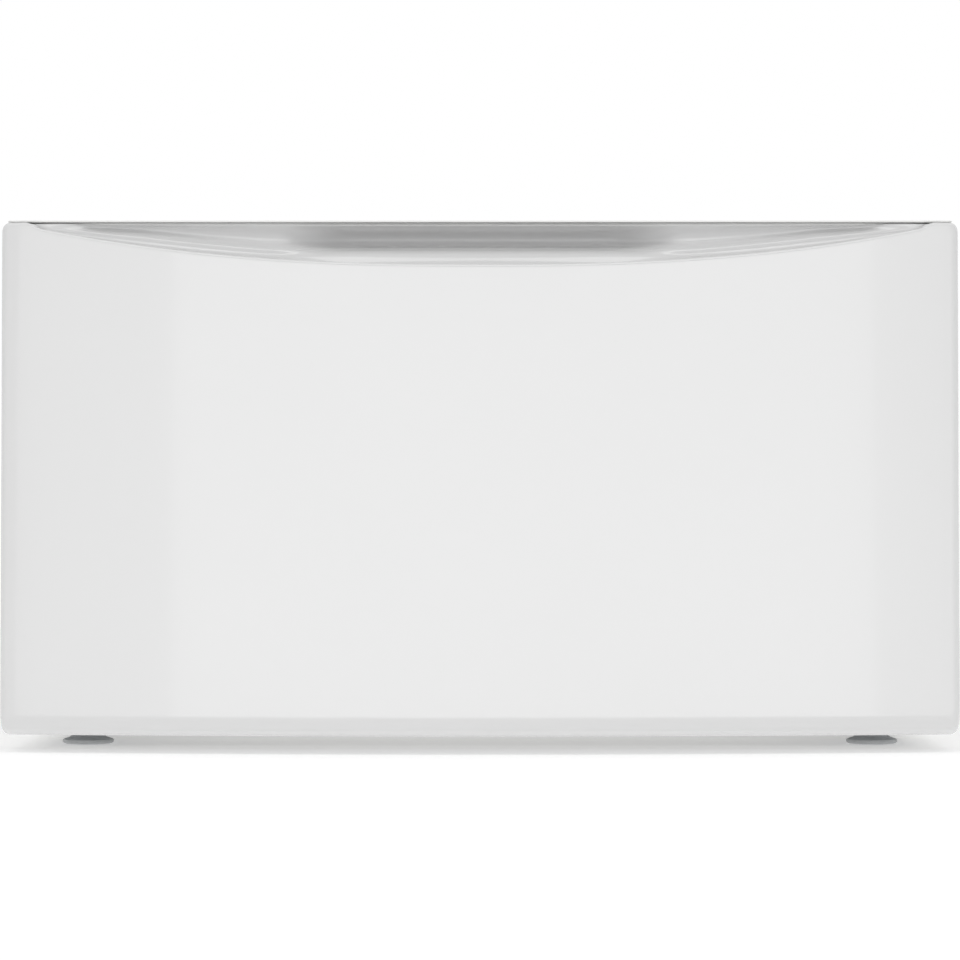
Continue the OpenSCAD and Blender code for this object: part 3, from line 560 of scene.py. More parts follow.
@dataclass
class FingerPull:
    """The scooped moulding behind the lip."""

    shape: FrontShape
    rim_y: float  # place of the straight rim
    skin_wall: float = 2.4 * MM  # thickness of the outer moulding
    wall: float = 2.2 * MM
    wing_depth: float = 5 * MM  # how far the wings reach behind the rim
    fit: float = 0.2 * MM  # gap to the outer moulding
    run_out: float = 45 * MM  # length over which the wings come forward to the lip
    pocket_half: float = 100 * MM
    pocket_blend: float = 50 * MM  # width over which the pocket rises
    pocket_depth: float = 46 * MM
    undercut: float = 24 * MM  # how far the pocket's wall lies behind the rim
    least_scoop: float = 4 * MM  # least room between the rim and the lip, at the ends
    rim_short: float = 1.4 * MM  # how far the rim's flange stops short of the front's back
    sections: int = 260  # sections along X
    steps: int = 9  # points between two knots of a section

    def rim_at(self, x: float) -> float:
        """Gives the rim's place at x."""
        face = self.shape.face_y(x, self.shape.high[2])
        return max(self.rim_y, face + self.skin_wall + self.fit + self.wall + self.least_scoop)

    def lip_u(self, x: float) -> float:
        """Gives how far the lip lies ahead of the rim at x."""
        face = self.shape.face_y(x, self.shape.high[2] - self.shape.lip_drop(x))
        return self.rim_at(x) - self.wall - (face + self.skin_wall + self.fit)

    def knots(self, x: float) -> list[Pair]:
        """Gives the corner points of the section at x, forward and down from the rim.

        Args:
            x: the section's place.

        Returns:
            Pairs of forward and downward distance, from the rim to the lip.
        """
        # Each knot lies so far forward of the rim and so far below it; a wing and the pocket have
        # ten each, and one turns into the other along X
        s = self.shape
        u, a = self.lip_u(x), self.undercut
        v = max(s.lip_drop(x), 2 * MM) + 0.6 * MM
        deep = 1 - smooth_step(self.pocket_half - self.pocket_blend / 4,
                               self.pocket_half + self.pocket_blend, abs(x))
        pocket = [(0, 0.8 * MM), (0, 2.2 * MM), (-0.65 * a, 5.5 * MM), (-a, 10.5 * MM),
                  (-0.8 * a, 15 * MM), (-0.25 * a, 18.5 * MM), (u * 0.06, 22 * MM),
                  (u * 0.28, 31 * MM), (u * 0.66, self.pocket_depth - 3 * MM), (u, v)]
        share = min(1.0, max(0.0, (v - 3.8 * MM) / (12 * MM)))
        run = (s.lip_half - 52 * MM - abs(x)) / (110 * MM)
        ridge = 0.5 * MM + 12 * MM * min(1.0, max(0.0, run)) ** 0.7
        ridge = max(ridge, 1.2 * MM, 0.25 * v)
        back, rest = self.wing_depth * share, v - ridge
        wing = [(0, (0.3 + 0.5 * share) * MM), (0, (0.6 + 1.2 * share) * MM),
                (-0.75 * back, max(0.9 * MM, 0.45 * ridge)), (-back, ridge),
                (-0.6 * back, ridge + 0.22 * rest), (0.04 * u, ridge + 0.44 * rest),
                (0.1 * u, ridge + 0.68 * rest), (0.22 * u, ridge + 0.86 * rest),
                (0.55 * u, ridge + 0.97 * rest)]
        flush = 1 - smooth_step(0.0, self.run_out, s.lip_half - abs(x))
        wing = [(blend(k[0], u * min(0.94, 0.5 * i), flush), k[1]) for i, k in enumerate(wing)]
        return [(blend(w[0], p[0], deep), blend(w[1], p[1], deep))
                for w, p in zip([*wing, (u, v)], pocket)]

    def section(self, x: float) -> list[Point]:
        """Gives the closed outline of the moulding at x.

        Args:
            x: the section's place.

        Returns:
            The outline's points, in metres.
        """
        path = smooth_path(self.knots(x), self.steps)
        rim = self.rim_at(x)
        rear = rim - self.shape.high[1] + self.rim_short
        under = offset_path(path, self.wall)[3 * self.steps :]
        outline = [(rear, 0.0), (-0.6 * MM, 0.0)] + path + list(reversed(under))
        outline += [(under[0][0], self.wall), (rear, self.wall)]
        return [(x, rim - u, self.shape.high[2] - v) for u, v in outline]

    def build(self) -> None:
        """Makes the moulding as one closed loft."""
        half = self.shape.half - self.shape.corner - self.fit
        xs = [-half + 2 * half * i / self.sections for i in range(self.sections + 1)]
        shell = Shell()
        shell.loft([shell.row(self.section(x)) for x in xs])
        settle(shell, "finger_pull_moulding", Finishes.FRONT, "drawer", "finger_pull")


# ---- pressed sheet


@dataclass(frozen=True)
class Field:
    """A stamped field in a sheet: a rounded rectangle with soft slopes."""

    u: float  # its middle along the sheet's first way
    v: float  # its middle along the second
    width: float  # its size along the first way
    height: float  # its size along the second
    depth: float  # how far it rises; below zero it sinks
    slope: float = 7 * MM  # width of its slopes
    corner: float = 16 * MM
    slope_steps: int = 5  # grid cells across a slope
    corner_steps: int = 3  # grid cells across the rest of a corner

    def rise(self, u: float, v: float) -> float:
        """Gives the rise at a point of the sheet.

        Args:
            u: along the first way.
            v: along the second.

        Returns:
            The height over the flat sheet.
        """
        du = abs(u - self.u) - (self.width / 2 - self.corner)
        dv = abs(v - self.v) - (self.height / 2 - self.corner)
        outside = math.hypot(max(du, 0.0), max(dv, 0.0)) + min(max(du, dv), 0.0) - self.corner
        return self.depth * (1 - smooth_step(-self.slope, 0.0, outside))

    def marks(self, middle: float, size: float) -> list[float]:
        """Gives the grid lines that the slopes and corners need along one way.

        Args:
            middle: the field's middle along it.
            size: its size along it.

        Returns:
            The lines' places.
        """
        n, rest = self.slope_steps, self.corner - self.slope
        steps = [self.slope * k / n for k in range(n + 1)]
        n = self.corner_steps
        steps += [self.slope + rest * k / n for k in range(1, n + 1)]
        return [middle + side * (size / 2 - step) for side in (-1, 1) for step in steps]


@dataclass(frozen=True)
class Hole:
    """A round hole in a sheet."""

    u: float
    v: float
    radius: float
    steps: int = 16  # grid cells across the hole
    pull: float = 1.2  # grid points within so many radii are drawn onto the rim

    def marks(self, middle: float) -> list[float]:
        """Gives the grid lines that the hole's rim needs along one way."""
        n = self.steps
        return [middle + self.radius * math.cos(math.pi * k / n) for k in range(n + 1)]

    def distance(self, u: float, v: float) -> float:
        """Gives the distance of a point from the hole's middle."""
        return math.hypot(u - self.u, v - self.v)

    def drawn(self, u: float, v: float) -> Pair:
        """Moves a point near the rim onto it."""
        share = self.radius / self.distance(u, v)
        return self.u + (u - self.u) * share, self.v + (v - self.v) * share


@dataclass(frozen=True)
class Fold:
    """A bend along an edge of a sheet, and the flange after it."""

    radius: float  # of its outer side
    tail: float = 0.0  # flat length after the bend
    turn: float = 90.0  # in degrees

    @property
    def arc(self) -> float:
        """Length of the bend."""
        return self.radius * math.radians(self.turn)

    def marks(self) -> list[float]:
        """Gives the grid lines that the bend needs.

        Returns:
            Their distances from its start.
        """
        count = max(3, round(self.turn / 15))
        flange = [self.arc + self.tail] if self.tail else []
        return [self.arc * k / count for k in range(count + 1)] + flange

    def place(self, run: float) -> Point:
        """Gives where a point past the edge lies.

        Args:
            run: how far along the sheet the point lies past the edge.

        Returns:
            Its distance past the edge, its distance behind the sheet, and the turn there.
        """
        turn = min(run, self.arc) / self.radius
        rest = max(0.0, run - self.arc)
        ahead = self.radius * math.sin(turn) + rest * math.cos(turn)
        return ahead, self.radius * (1 - math.cos(turn)) + rest * math.sin(turn), turn


LEAST_CELL = 0.05 * MM  # grid lines closer than this become one


@dataclass(frozen=True)
class Ends:
    """Half the flat length of a sheet along one way, and the bends past its ends."""

    half: float
    low: Fold | None
    high: Fold | None

    def lines(self, marks: list[float], cell: float) -> list[float]:
        """Sorts grid lines, joins those that nearly meet, and fills gaps wider than a cell.

        Args:
            marks: the lines that fields and holes need.
            cell: the widest cell.

        Returns:
            The lines' places along the sheet.
        """
        marks = [-self.half, self.half] + [m for m in marks if -self.half < m < self.half]
        marks += [-self.half - m for m in self.low.marks()] if self.low else []
        marks += [self.half + m for m in self.high.marks()] if self.high else []
        first, *others = sorted(marks)
        lines = [first]
        for mark in others:
            start = lines[-1]
            gap = mark - start
            count = math.ceil(gap / cell) if gap >= LEAST_CELL else 0
            lines += [start + gap * k / count for k in range(1, count + 1)]
        return lines

    def bent(self, value: float) -> Point:
        """Gives the place, the depth and the turn of one grid line.

        Args:
            value: its place along the sheet.

        Returns:
            Its place along the flat part's plane, its depth behind it, and the turn there.
        """
        fold = self.high if value > 0 else self.low
        if not fold or abs(value) <= self.half:
            return value, 0.0, 0.0
        side = math.copysign(1.0, value)
        ahead, behind, turn = fold.place(abs(value) - self.half)
        return side * (self.half + ahead), behind, side * turn


@dataclass
class PressedSheet:
    """A steel sheet with stamped fields, bent flanges and holes, made as one closed shell."""

    middle: Point  # middle of the flat part's outer side
    across: Point  # its first way, as a unit vector
    up: Point  # its second way
    flat: Pair  # size of the flat part along both ways
    thickness: float
    fields: tuple[Field, ...] = ()
    holes: tuple[Hole, ...] = ()
    left: Fold | None = None  # bend at the first way's low end
    right: Fold | None = None  # bend at its high end
    foot: Fold | None = None  # bend at the second way's low end
    top: Fold | None = None  # bend at its high end
    corner: float = 0.0  # radius of the two top corners, seen square on
    corner_steps: int = 6  # grid cells up a corner
    cell: float = 24 * MM  # widest grid cell
    sharp_deg: float = 40.0

    def ends(self) -> tuple[Ends, Ends]:
        """Gives the ends along both ways."""
        return (Ends(self.flat[0] / 2, self.left, self.right),
                Ends(self.flat[1] / 2, self.foot, self.top))

    def rounded(self, u: float, v: float) -> float:
        """Draws a point in where the top corners are round.

        Args:
            u: along the first way.
            v: along the second.

        Returns:
            Its new place along the first way.
        """
        over = v - (self.flat[1] / 2 - self.corner)
        side = self.left.arc + self.left.tail if self.left else 0.0
        inner = self.flat[0] / 2 - self.corner + side
        if not self.corner or over <= 0 or abs(u) <= inner:
            return u
        # The last row keeps a twentieth of the corner, so that none of its faces is empty
        width = math.sqrt(max((0.05 * self.corner) ** 2, self.corner**2 - over**2))
        return math.copysign(inner + (abs(u) - inner) * width / self.corner, u)

    def point(self, u: float, v: float, lift: float) -> Point:
        """Gives the place of a point of the sheet.

        Args:
            u: along the first way, measured on the sheet.
            v: along the second.
            lift: height over the sheet's outer side.

        Returns:
            The point, in metres.
        """
        across, up = self.ends()
        a, sunk_a, turn_a = across.bent(self.rounded(u, v))
        b, sunk_b, turn_b = up.bent(v)
        a += lift * math.sin(turn_a)
        b += lift * math.sin(turn_b)
        out = lift * math.cos(turn_a) * math.cos(turn_b) - sunk_a - sunk_b
        (ax, ay, az), (bx, by, bz) = self.across, self.up
        normal = (ay * bz - az * by, az * bx - ax * bz, ax * by - ay * bx)
        return tuple(m + a * p + b * q + out * n
                     for m, p, q, n in zip(self.middle, self.across, self.up, normal))

    def kept(self, u: float, v: float) -> bool:
        """Tells if a grid cell with this middle is part of the sheet."""
        bent_both = abs(u) > self.flat[0] / 2 and abs(v) > self.flat[1] / 2
        return not bent_both and all(hole.distance(u, v) > hole.radius for hole in self.holes)

    def grid(self) -> tuple[list[float], list[float]]:
        """Gives the grid lines along both ways.

        Returns:
            Their places along the first way and along the second.
        """
        across, up = self.ends()
        us = [m for f in self.fields for m in f.marks(f.u, f.width)]
        us += [m for hole in self.holes for m in hole.marks(hole.u)]
        vs = [m for f in self.fields for m in f.marks(f.v, f.height)]
        vs += [m for hole in self.holes for m in hole.marks(hole.v)]
        if self.corner:
            n = self.corner_steps
            drops = [self.corner * (1 - math.sin(math.pi / 2 * k / n)) for k in range(n + 1)]
            vs += [self.flat[1] / 2 - drop for drop in drops]
        return across.lines(us, self.cell), up.lines(vs, self.cell)

    def shell(self) -> Shell:
        """Makes the sheet's shape.

        Returns:
            Its outer and inner side, joined round every edge and hole.
        """
        us, vs = self.grid()
        cells = {(i, j) for i in range(len(us) - 1) for j in range(len(vs) - 1)
                 if self.kept((us[i] + us[i + 1]) / 2, (vs[j] + vs[j + 1]) / 2)}
        made = Shell()

        @cache
        def index(i: int, j: int, layer: int) -> int:
            """Makes a grid point the first time it is asked for.

            Args:
                i: its line along the first way.
                j: its line along the second.
                layer: 0 for the outer side, 1 for the inner.

            Returns:
                Its index.
            """
            u, v = us[i], vs[j]
            around = {(i - 1, j - 1), (i, j - 1), (i - 1, j), (i, j)}
            for hole in self.holes:
                if hole.distance(u, v) < hole.pull * hole.radius and not around <= cells:
                    u, v = hole.drawn(u, v)
            lift = sum(field.rise(u, v) for field in self.fields) - layer * self.thickness
            return made.row([self.point(u, v, lift)])[0]

        for i, j in sorted(cells):
            loop = ((i, j), (i + 1, j), (i + 1, j + 1), (i, j + 1))
            made.faces.append(tuple(index(*c, 0) for c in loop))
            made.faces.append(tuple(index(*c, 1) for c in reversed(loop)))
            sides = ((i, j - 1), (i + 1, j), (i, j + 1), (i - 1, j))
            for k, neighbour in enumerate(sides):
                if neighbour not in cells:
                    a, b = loop[k], loop[(k + 1) % 4]
                    made.faces.append((index(*a, 0), index(*a, 1), index(*b, 1), index(*b, 0)))
        return made

    def settle(self, name: str, finish: Finishes, body: str, node: str) -> None:
        """Makes the sheet as a piece on a body, in place of a node."""
        settle(self.shell(), name, finish, body, node, self.sharp_deg)


# ---- turned and threaded pieces


def turned(profile: list[Pair], steps: int = 48,
           shape: Callable[[float, float, float], float] = lambda radius, angle, height: radius,
           ) -> Shell:
    """Turns a profile of radius and height round Z and closes it.

    Args:
        profile: pairs of radius and height, outside first; equal ends close a ring with a bore.
        steps: corners round the axis.
        shape: gives the radius at an angle and height, for forms that aren't round.

    Returns:
        The closed shape.
    """
    angles = [2 * math.pi * k / steps for k in range(steps)]
    shell = Shell()
    rings = []
    for radius, height in profile:
        radii = [shape(radius, angle, height) for angle in angles]
        rings.append(shell.row([(r * math.cos(angle), r * math.sin(angle), height)
                                for r, angle in zip(radii, angles)]))
    if profile[0] != profile[-1]:
        shell.loft(rings)
        return shell
    shell.strips(rings, closed=True)
    doubled = rings[-1][0]
    shell.faces = [tuple(k - doubled if k >= doubled else k for k in face) for face in shell.faces]
    del shell.points[doubled:]
    return shell


def along(way: Point, at: Point) -> Move:
    """Gives a function that turns Z to one of the axes and moves the origin to a point.

    Args:
        way: the axis, as a unit vector.
        at: the point.

    Returns:
        The function, which gives a point's new place.
    """
    x, y, z = way

    def move(p: Point) -> Point:
        """Turns and moves a point.

        Args:
            p: the point.

        Returns:
            Its new place.
        """
        if z:
            spun = (p[0], p[1] * z, p[2] * z)
        elif y:
            spun = (p[0] * -y, p[2] * y, p[1])
        else:
            spun = (p[2] * x, p[0] * x, p[1])
        return tuple(a + b for a, b in zip(spun, at))

    return move


@dataclass(frozen=True)
class PanScrew:
    """A pan head screw with a cross recess, or a rivet without one."""

    head: float = 4.5 * MM  # radius of the head
    height: float = 2.4 * MM  # height of the head
    shank: float = 2.1 * MM  # radius of the shank
    reach: float = 5.0 * MM  # length of the shank
    recess: float = 1.5 * MM  # depth of the cross recess; 0 for a rivet
    rings: int = 14  # rings of faces on the head
    level: float = 0.55  # share of the head's radius that stays level
    arm_half: Pair = (0.45 * MM, 0.8 * MM)  # half width of the recess's arms, at foot and mouth
    arm_reach: Pair = (1.7 * MM, 2.5 * MM)  # their reach, at foot and mouth

    def shape(self) -> Shell:
        """Makes one screw that stands on Z.

        Returns:
            The screw, with its head's underside at the origin.
        """
        profile = [(self.shank * 0.8, -self.reach), (self.shank, -self.reach + 0.5 * MM),
                   (self.shank, 0.0), (self.head, 0.0), (self.head, 0.35 * self.height)]
        for k in range(self.rings - 1, 0, -1):
            edge = max(0.0, k / self.rings - self.level) / (1 - self.level)
            profile.append((self.head * k / self.rings, self.height * (1 - 0.6 * edge**2.2)))
        screw = turned(profile)
        for i, (x, y, z) in enumerate(screw.points):
            share = 1 - smooth_step(*self.arm_half, min(abs(x), abs(y)))
            share *= 1 - smooth_step(*self.arm_reach, max(abs(x), abs(y)))
            if z > 0.5 * self.height:
                screw.points[i] = (x, y, z - self.recess * share)
        return screw


@dataclass(frozen=True)
class HexNut:
    """A hexagonal nut with chamfered corners and a bore."""

    flats: float  # width across the flats
    height: float
    bore: float  # radius of the bore
    chamfered: bool = True  # whether its foot is chamfered too
    lead: float = 0.4 * MM  # size of the bore's own chamfers
    crown: float = 0.96  # share of the flats that stays level inside the chamfer

    def side(self, radius: float, angle: float, height: float) -> float:
        """Gives the radius of the six flats; a bore stays round.

        Args:
            radius: the profile's radius.
            angle: the angle round the axis.
            height: the height, which changes nothing.

        Returns:
            The radius at that angle.
        """
        if radius <= self.bore + 1.5 * self.lead:
            return radius
        turn = (angle + math.pi / 6) % (math.pi / 3) - math.pi / 6
        return min(radius, self.flats / 2 / math.cos(turn))

    def shape(self) -> Shell:
        """Makes one nut that stands on the origin.

        Returns:
            The nut.
        """
        tip, flat = self.flats / 2 / math.cos(math.pi / 6), self.crown * (self.flats / 2)
        drop = (tip - flat) * math.tan(math.radians(30))
        start = (self.bore, self.lead)
        profile = [start, (self.bore + self.lead, 0.0), (flat, 0.0),
                   (tip, drop if self.chamfered else 0.0), (tip, self.height - drop),
                   (flat, self.height), (self.bore + self.lead, self.height),
                   (self.bore, self.height - self.lead), start]
        return turned(profile, shape=self.side)


@dataclass(frozen=True)
class LevelStud:
    """A levelling stud with a rolled thread and a hexagonal collar."""

    radius: float = 5 * MM  # outer radius of the thread
    foot: float = 4 * MM  # height of its lower end
    top: float = 60 * MM  # height of its upper end
    pitch: float = 1.5 * MM  # of the thread
    tip: float = 1 * MM  # length and depth of the upper end's chamfer
    collar_foot: float = 9.2 * MM  # height of the collar's underside
    collar_height: float = 3.6 * MM
    collar_tip: float = 7.2 * MM  # radius over the collar's corners
    collar_sink: float = 0.05 * MM  # how far the collar's bore lies inside the stud
    shoulder: float = 0.5 * MM  # length over the collar before the thread begins
    depth: float = 0.55  # the thread's depth as a share of its pitch
    crest: float = 0.15  # how flat its crests are
    per_turn: int = 6  # rings of points on each turn of the thread
    steps: int = 32  # points round the stud

    def thread(self, radius: float, angle: float, z: float) -> float:
        """Gives the thread's radius, with sharp valleys and flat crests.

        Args:
            radius: the outer radius.
            angle: the angle round the axis.
            z: the height.

        Returns:
            The radius there.
        """
        radius -= max(0.0, 1 - (self.top - z) / self.tip) * self.tip
        if z < self.collar_foot + self.collar_height + self.shoulder:
            return radius
        valley = 1 - abs(2 * ((z / self.pitch - angle / (2 * math.pi)) % 1.0) - 1)
        return radius - self.depth * self.pitch * max(0.0, valley * (1 + self.crest) - self.crest)

    def shape(self) -> Shell:
        """Makes one stud on its own axis.

        Returns:
            The stud with its collar.
        """
        length = self.top - self.foot
        count = round(length / self.pitch * self.per_turn)
        stud = turned([(self.radius, self.foot + length * j / count) for j in range(count + 1)],
                      self.steps, self.thread)
        collar = HexNut(2 * self.collar_tip * math.cos(math.pi / 6), self.collar_height,
                        self.radius - self.collar_sink)
        stud.add(collar.shape(), along(UP, (0.0, 0.0, self.collar_foot)))
        return stud


class Facing(Enum):
    """The ways that the solids of a node can face."""

    UP = "up"
    REAR = "rear"
    INWARD = "inward"
    OUTWARD = "outward"

    def way(self, at: Point) -> Point:
        """Gives the way as a unit vector.

        Args:
            at: the solid's place, left or right of the middle.

        Returns:
            The unit vector.
        """
        if self is Facing.UP:
            return UP
        if self is Facing.REAR:
            return TO_REAR
        return TO_RIGHT if (at[0] > 0) == (self is Facing.OUTWARD) else TO_LEFT


def lumps(node: str) -> list[tuple[Point, Point]]:
    """Gives the box of each separate solid in a CAD node's mesh.

    Args:
        node: the node's name.

    Returns:
        Pairs of lowest and highest corner, in metres.
    """
    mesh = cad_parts[node].data
    keys = [tuple(round(c, 6) for c in v.co) for v in mesh.vertices]
    parent = {key: key for key in keys}

    def root(key: Point) -> Point:
        """Finds the point that stands for a point's lump.

        Args:
            key: the point.

        Returns:
            The one that all points of the lump lead to.
        """
        while parent[key] != key:
            parent[key] = parent[parent[key]]
            key = parent[key]
        return key

    for edge in mesh.edges:
        a, b = (root(keys[k]) for k in edge.vertices)
        parent[a] = b
    groups: dict[Point, list[Point]] = {}
    for key in parent:
        groups.setdefault(root(key), []).append(key)
    return sorted((tuple(min(c) for c in zip(*group)), tuple(max(c) for c in zip(*group)))
                  for group in groups.values())


def spread(shape: Shell, name: str, finish: Finishes, body: str, node: str, facing: Facing,
           height: float | None, sharp_deg: float = 32.0) -> None:
    """Makes a piece with a copy of a shape in the place of each solid of a node.

    Args:
        shape: the shape, which stands on Z.
        name: the piece's name.
        finish: its finish.
        body: the body that carries it.
        node: the CAD node.
        facing: the way that the solids face.
        height: how far the shape's origin lies below a solid's top, or None for its middle.
        sharp_deg: the turn from which an edge is sharp.
    """
    whole = Shell()
    for low, high in lumps(node):
        at = tuple((a + b) / 2 for a, b in zip(low, high))
        way = facing.way(at)
        if height is not None:
            at = tuple(m if not f else (h - height if f > 0 else l + height)
                       for m, f, l, h in zip(at, way, low, high))
        whole.add(shape, along(way, at))
    settle(whole, name, finish, body, node, sharp_deg)


# ---- sub-assemblies


class Hand(Enum):
    """The two sides of the pedestal."""

    LEFT = "left"
    RIGHT = "right"

    @property
    def across(self) -> Point:
        """The first way of a sheet that faces outward on this side."""
        return TO_FRONT if self is Hand.LEFT else TO_REAR


def side_face(node: str, hand: Hand, end: float, foot: float, head: float) -> tuple[Point, Pair]:
    """Finds the flat part of a side wall inside its bends.

    Args:
        node: the CAD node.
        hand: the wall's side.
        end: bend at its front and rear ends.
        foot: bend along its foot.
        head: bend along its top.

    Returns:
        The flat part's middle, and its length and height.
    """
    low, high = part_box(node)
    front, rear = low[1] + end, high[1] - end
    bottom, top = low[2] + foot, high[2] - head
    face_x = low[0] if hand is Hand.LEFT else high[0]
    return (face_x, (front + rear) / 2, (bottom + top) / 2), (rear - front, top - bottom)


def rear_face(node: str) -> tuple[Point, Pair]:
    """Gives the middle of an upright panel's rear face, and its width and height."""
    low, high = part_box(node)
    return (0.0, high[1], (low[2] + high[2]) / 2), (high[0] - low[0], high[2] - low[2])


@dataclass
class Cabinet:
    """The steel cabinet: two side panels, a back panel and the deck."""

    width: float = 686 * MM  # over the deck
    sheet: float = 1.2 * MM  # thickness of the panels
    deck_sheet: float = 0.8 * MM
    hem: float = 1.2 * MM  # thickness of the deck's hemmed front edge
    bend: float = 2.5 * MM  # radius of a panel's upright and foot bends
    flanges: Point = (18.5 * MM, 12.5 * MM, 23.5 * MM)  # at a side's front, rear and foot
    top_flange: float = 9.3 * MM
    # foot and head of a side's fields, above the floor
    side_fields: tuple[Pair, ...] = ((65.2 * MM, 95.0 * MM), (204.0 * MM, 333.2 * MM))
    side_margin: float = 130 * MM  # how much shorter they are than the panel
    side_corner: float = 13 * MM
    back_margin: Pair = (70 * MM, 110 * MM)  # of the back's fields, across and up
    back_corner: float = 22 * MM
    back_shift: float = 8 * MM  # how far the back's fields lie in from the quarters
    deck_bend: float = 6 * MM  # radius of the deck's long edges
    panel_bend: float = 5.7 * MM  # radius of the bends under the deck's edges
    depth_of_fields: float = 4 * MM
    skirt: float = 10 * MM  # depth of the deck's skirts
    rib_spacing: float = 104 * MM
    rib_size: Pair = (56 * MM, 286 * MM)
    rib_slope: float = 6 * MM
    rib_corner: float = 20 * MM
    bolt_span: Pair = (584 * MM, 436 * MM)  # of the washer's bolts, across and front to rear
    bolt_hole: float = 6.5 * MM  # radius of a bolt hole
    seat: float = 48 * MM  # width of the dish round a bolt hole
    seat_depth: float = 2.5 * MM
    seat_slope: float = 4 * MM
    nose_corner: float = 5 * MM
    nose_turn: float = 19.5  # bend at the nose's ends, in degrees

    def side(self, hand: Hand) -> None:
        """Makes one side panel.

        Args:
            hand: its side.
        """
        node = f"{hand.value}_side_panel"
        middle, flat = side_face(node, hand, self.bend, self.bend, self.panel_bend)
        length = flat[0] + 2 * self.bend - self.side_margin
        fields = tuple(Field(0.0, (a + b) / 2 - middle[2], length, b - a,
                             -self.depth_of_fields, corner=self.side_corner)
                       for a, b in self.side_fields)
        front, rear, foot = (Fold(self.bend, tail) for tail in self.flanges)
        left, right = (rear, front) if hand is Hand.LEFT else (front, rear)
        sheet = PressedSheet(middle, hand.across, UP, flat, self.sheet, fields,
                             left=left, right=right, foot=foot,
                             top=Fold(self.panel_bend, self.top_flange))
        sheet.settle(f"{hand.value}_side_pressing", Finishes.CABINET, "cabinet", node)

    def back(self) -> None:
        """Makes the back panel with its two stamped fields."""
        middle, (width, height) = rear_face("back_panel")
        size = (width / 2 - self.back_margin[0], height - self.back_margin[1])
        fields = tuple(Field(x, 0.0, *size, -self.depth_of_fields, corner=self.back_corner)
                       for x in (self.back_shift - width / 4, width / 4 - self.back_shift))
        sheet = PressedSheet(middle, TO_LEFT, UP, (width, height), self.sheet, fields,
                             corner=self.panel_bend)
        sheet.settle("back_pressing", Finishes.CABINET, "cabinet", "back_panel")

    def deck(self) -> None:
        """Makes the deck: a plate with ribs and dished bolt holes, and its nose."""
        low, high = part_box("top_deck")
        front_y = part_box("left_side_panel")[0][1]
        flat = self.width - 2 * self.deck_bend
        ribs = tuple(Field(i * self.rib_spacing, 0.0, *self.rib_size, -self.depth_of_fields,
                           self.rib_slope, self.rib_corner) for i in range(-2, 3))
        bolts = [(x * self.bolt_span[0] / 2, y * self.bolt_span[1] / 2)
                 for x in (-1, 1) for y in (-1, 1)]
        seats = tuple(Field(x, y, self.seat, self.seat, -self.seat_depth, self.seat_slope,
                            self.seat / 2) for x, y in bolts)
        holes = tuple(Hole(x, y, self.bolt_hole) for x, y in bolts)
        skirt = Fold(self.deck_bend, self.skirt + self.deck_sheet - self.deck_bend)
        plate = PressedSheet((0.0, (front_y + high[1]) / 2, high[2]), TO_RIGHT, TO_REAR,
                             (flat, high[1] - front_y), self.deck_sheet, ribs + seats, holes,
                             left=skirt, right=skirt)
        plate.settle("deck_plate", Finishes.DECK, "cabinet", "top_deck")
        short = Fold(self.deck_bend, turn=self.nose_turn)
        nose = PressedSheet((0.0, (low[1] + front_y) / 2, high[2]), TO_LEFT, TO_FRONT,
                            (flat, front_y - low[1]), self.hem, left=short, right=short,
                            corner=self.nose_corner)
        nose.settle("deck_nose", Finishes.DECK, "cabinet", "top_deck")

    def build(self) -> None:
        """Makes all the panels."""
        for hand in Hand:
            self.side(hand)
        self.back()
        self.deck()


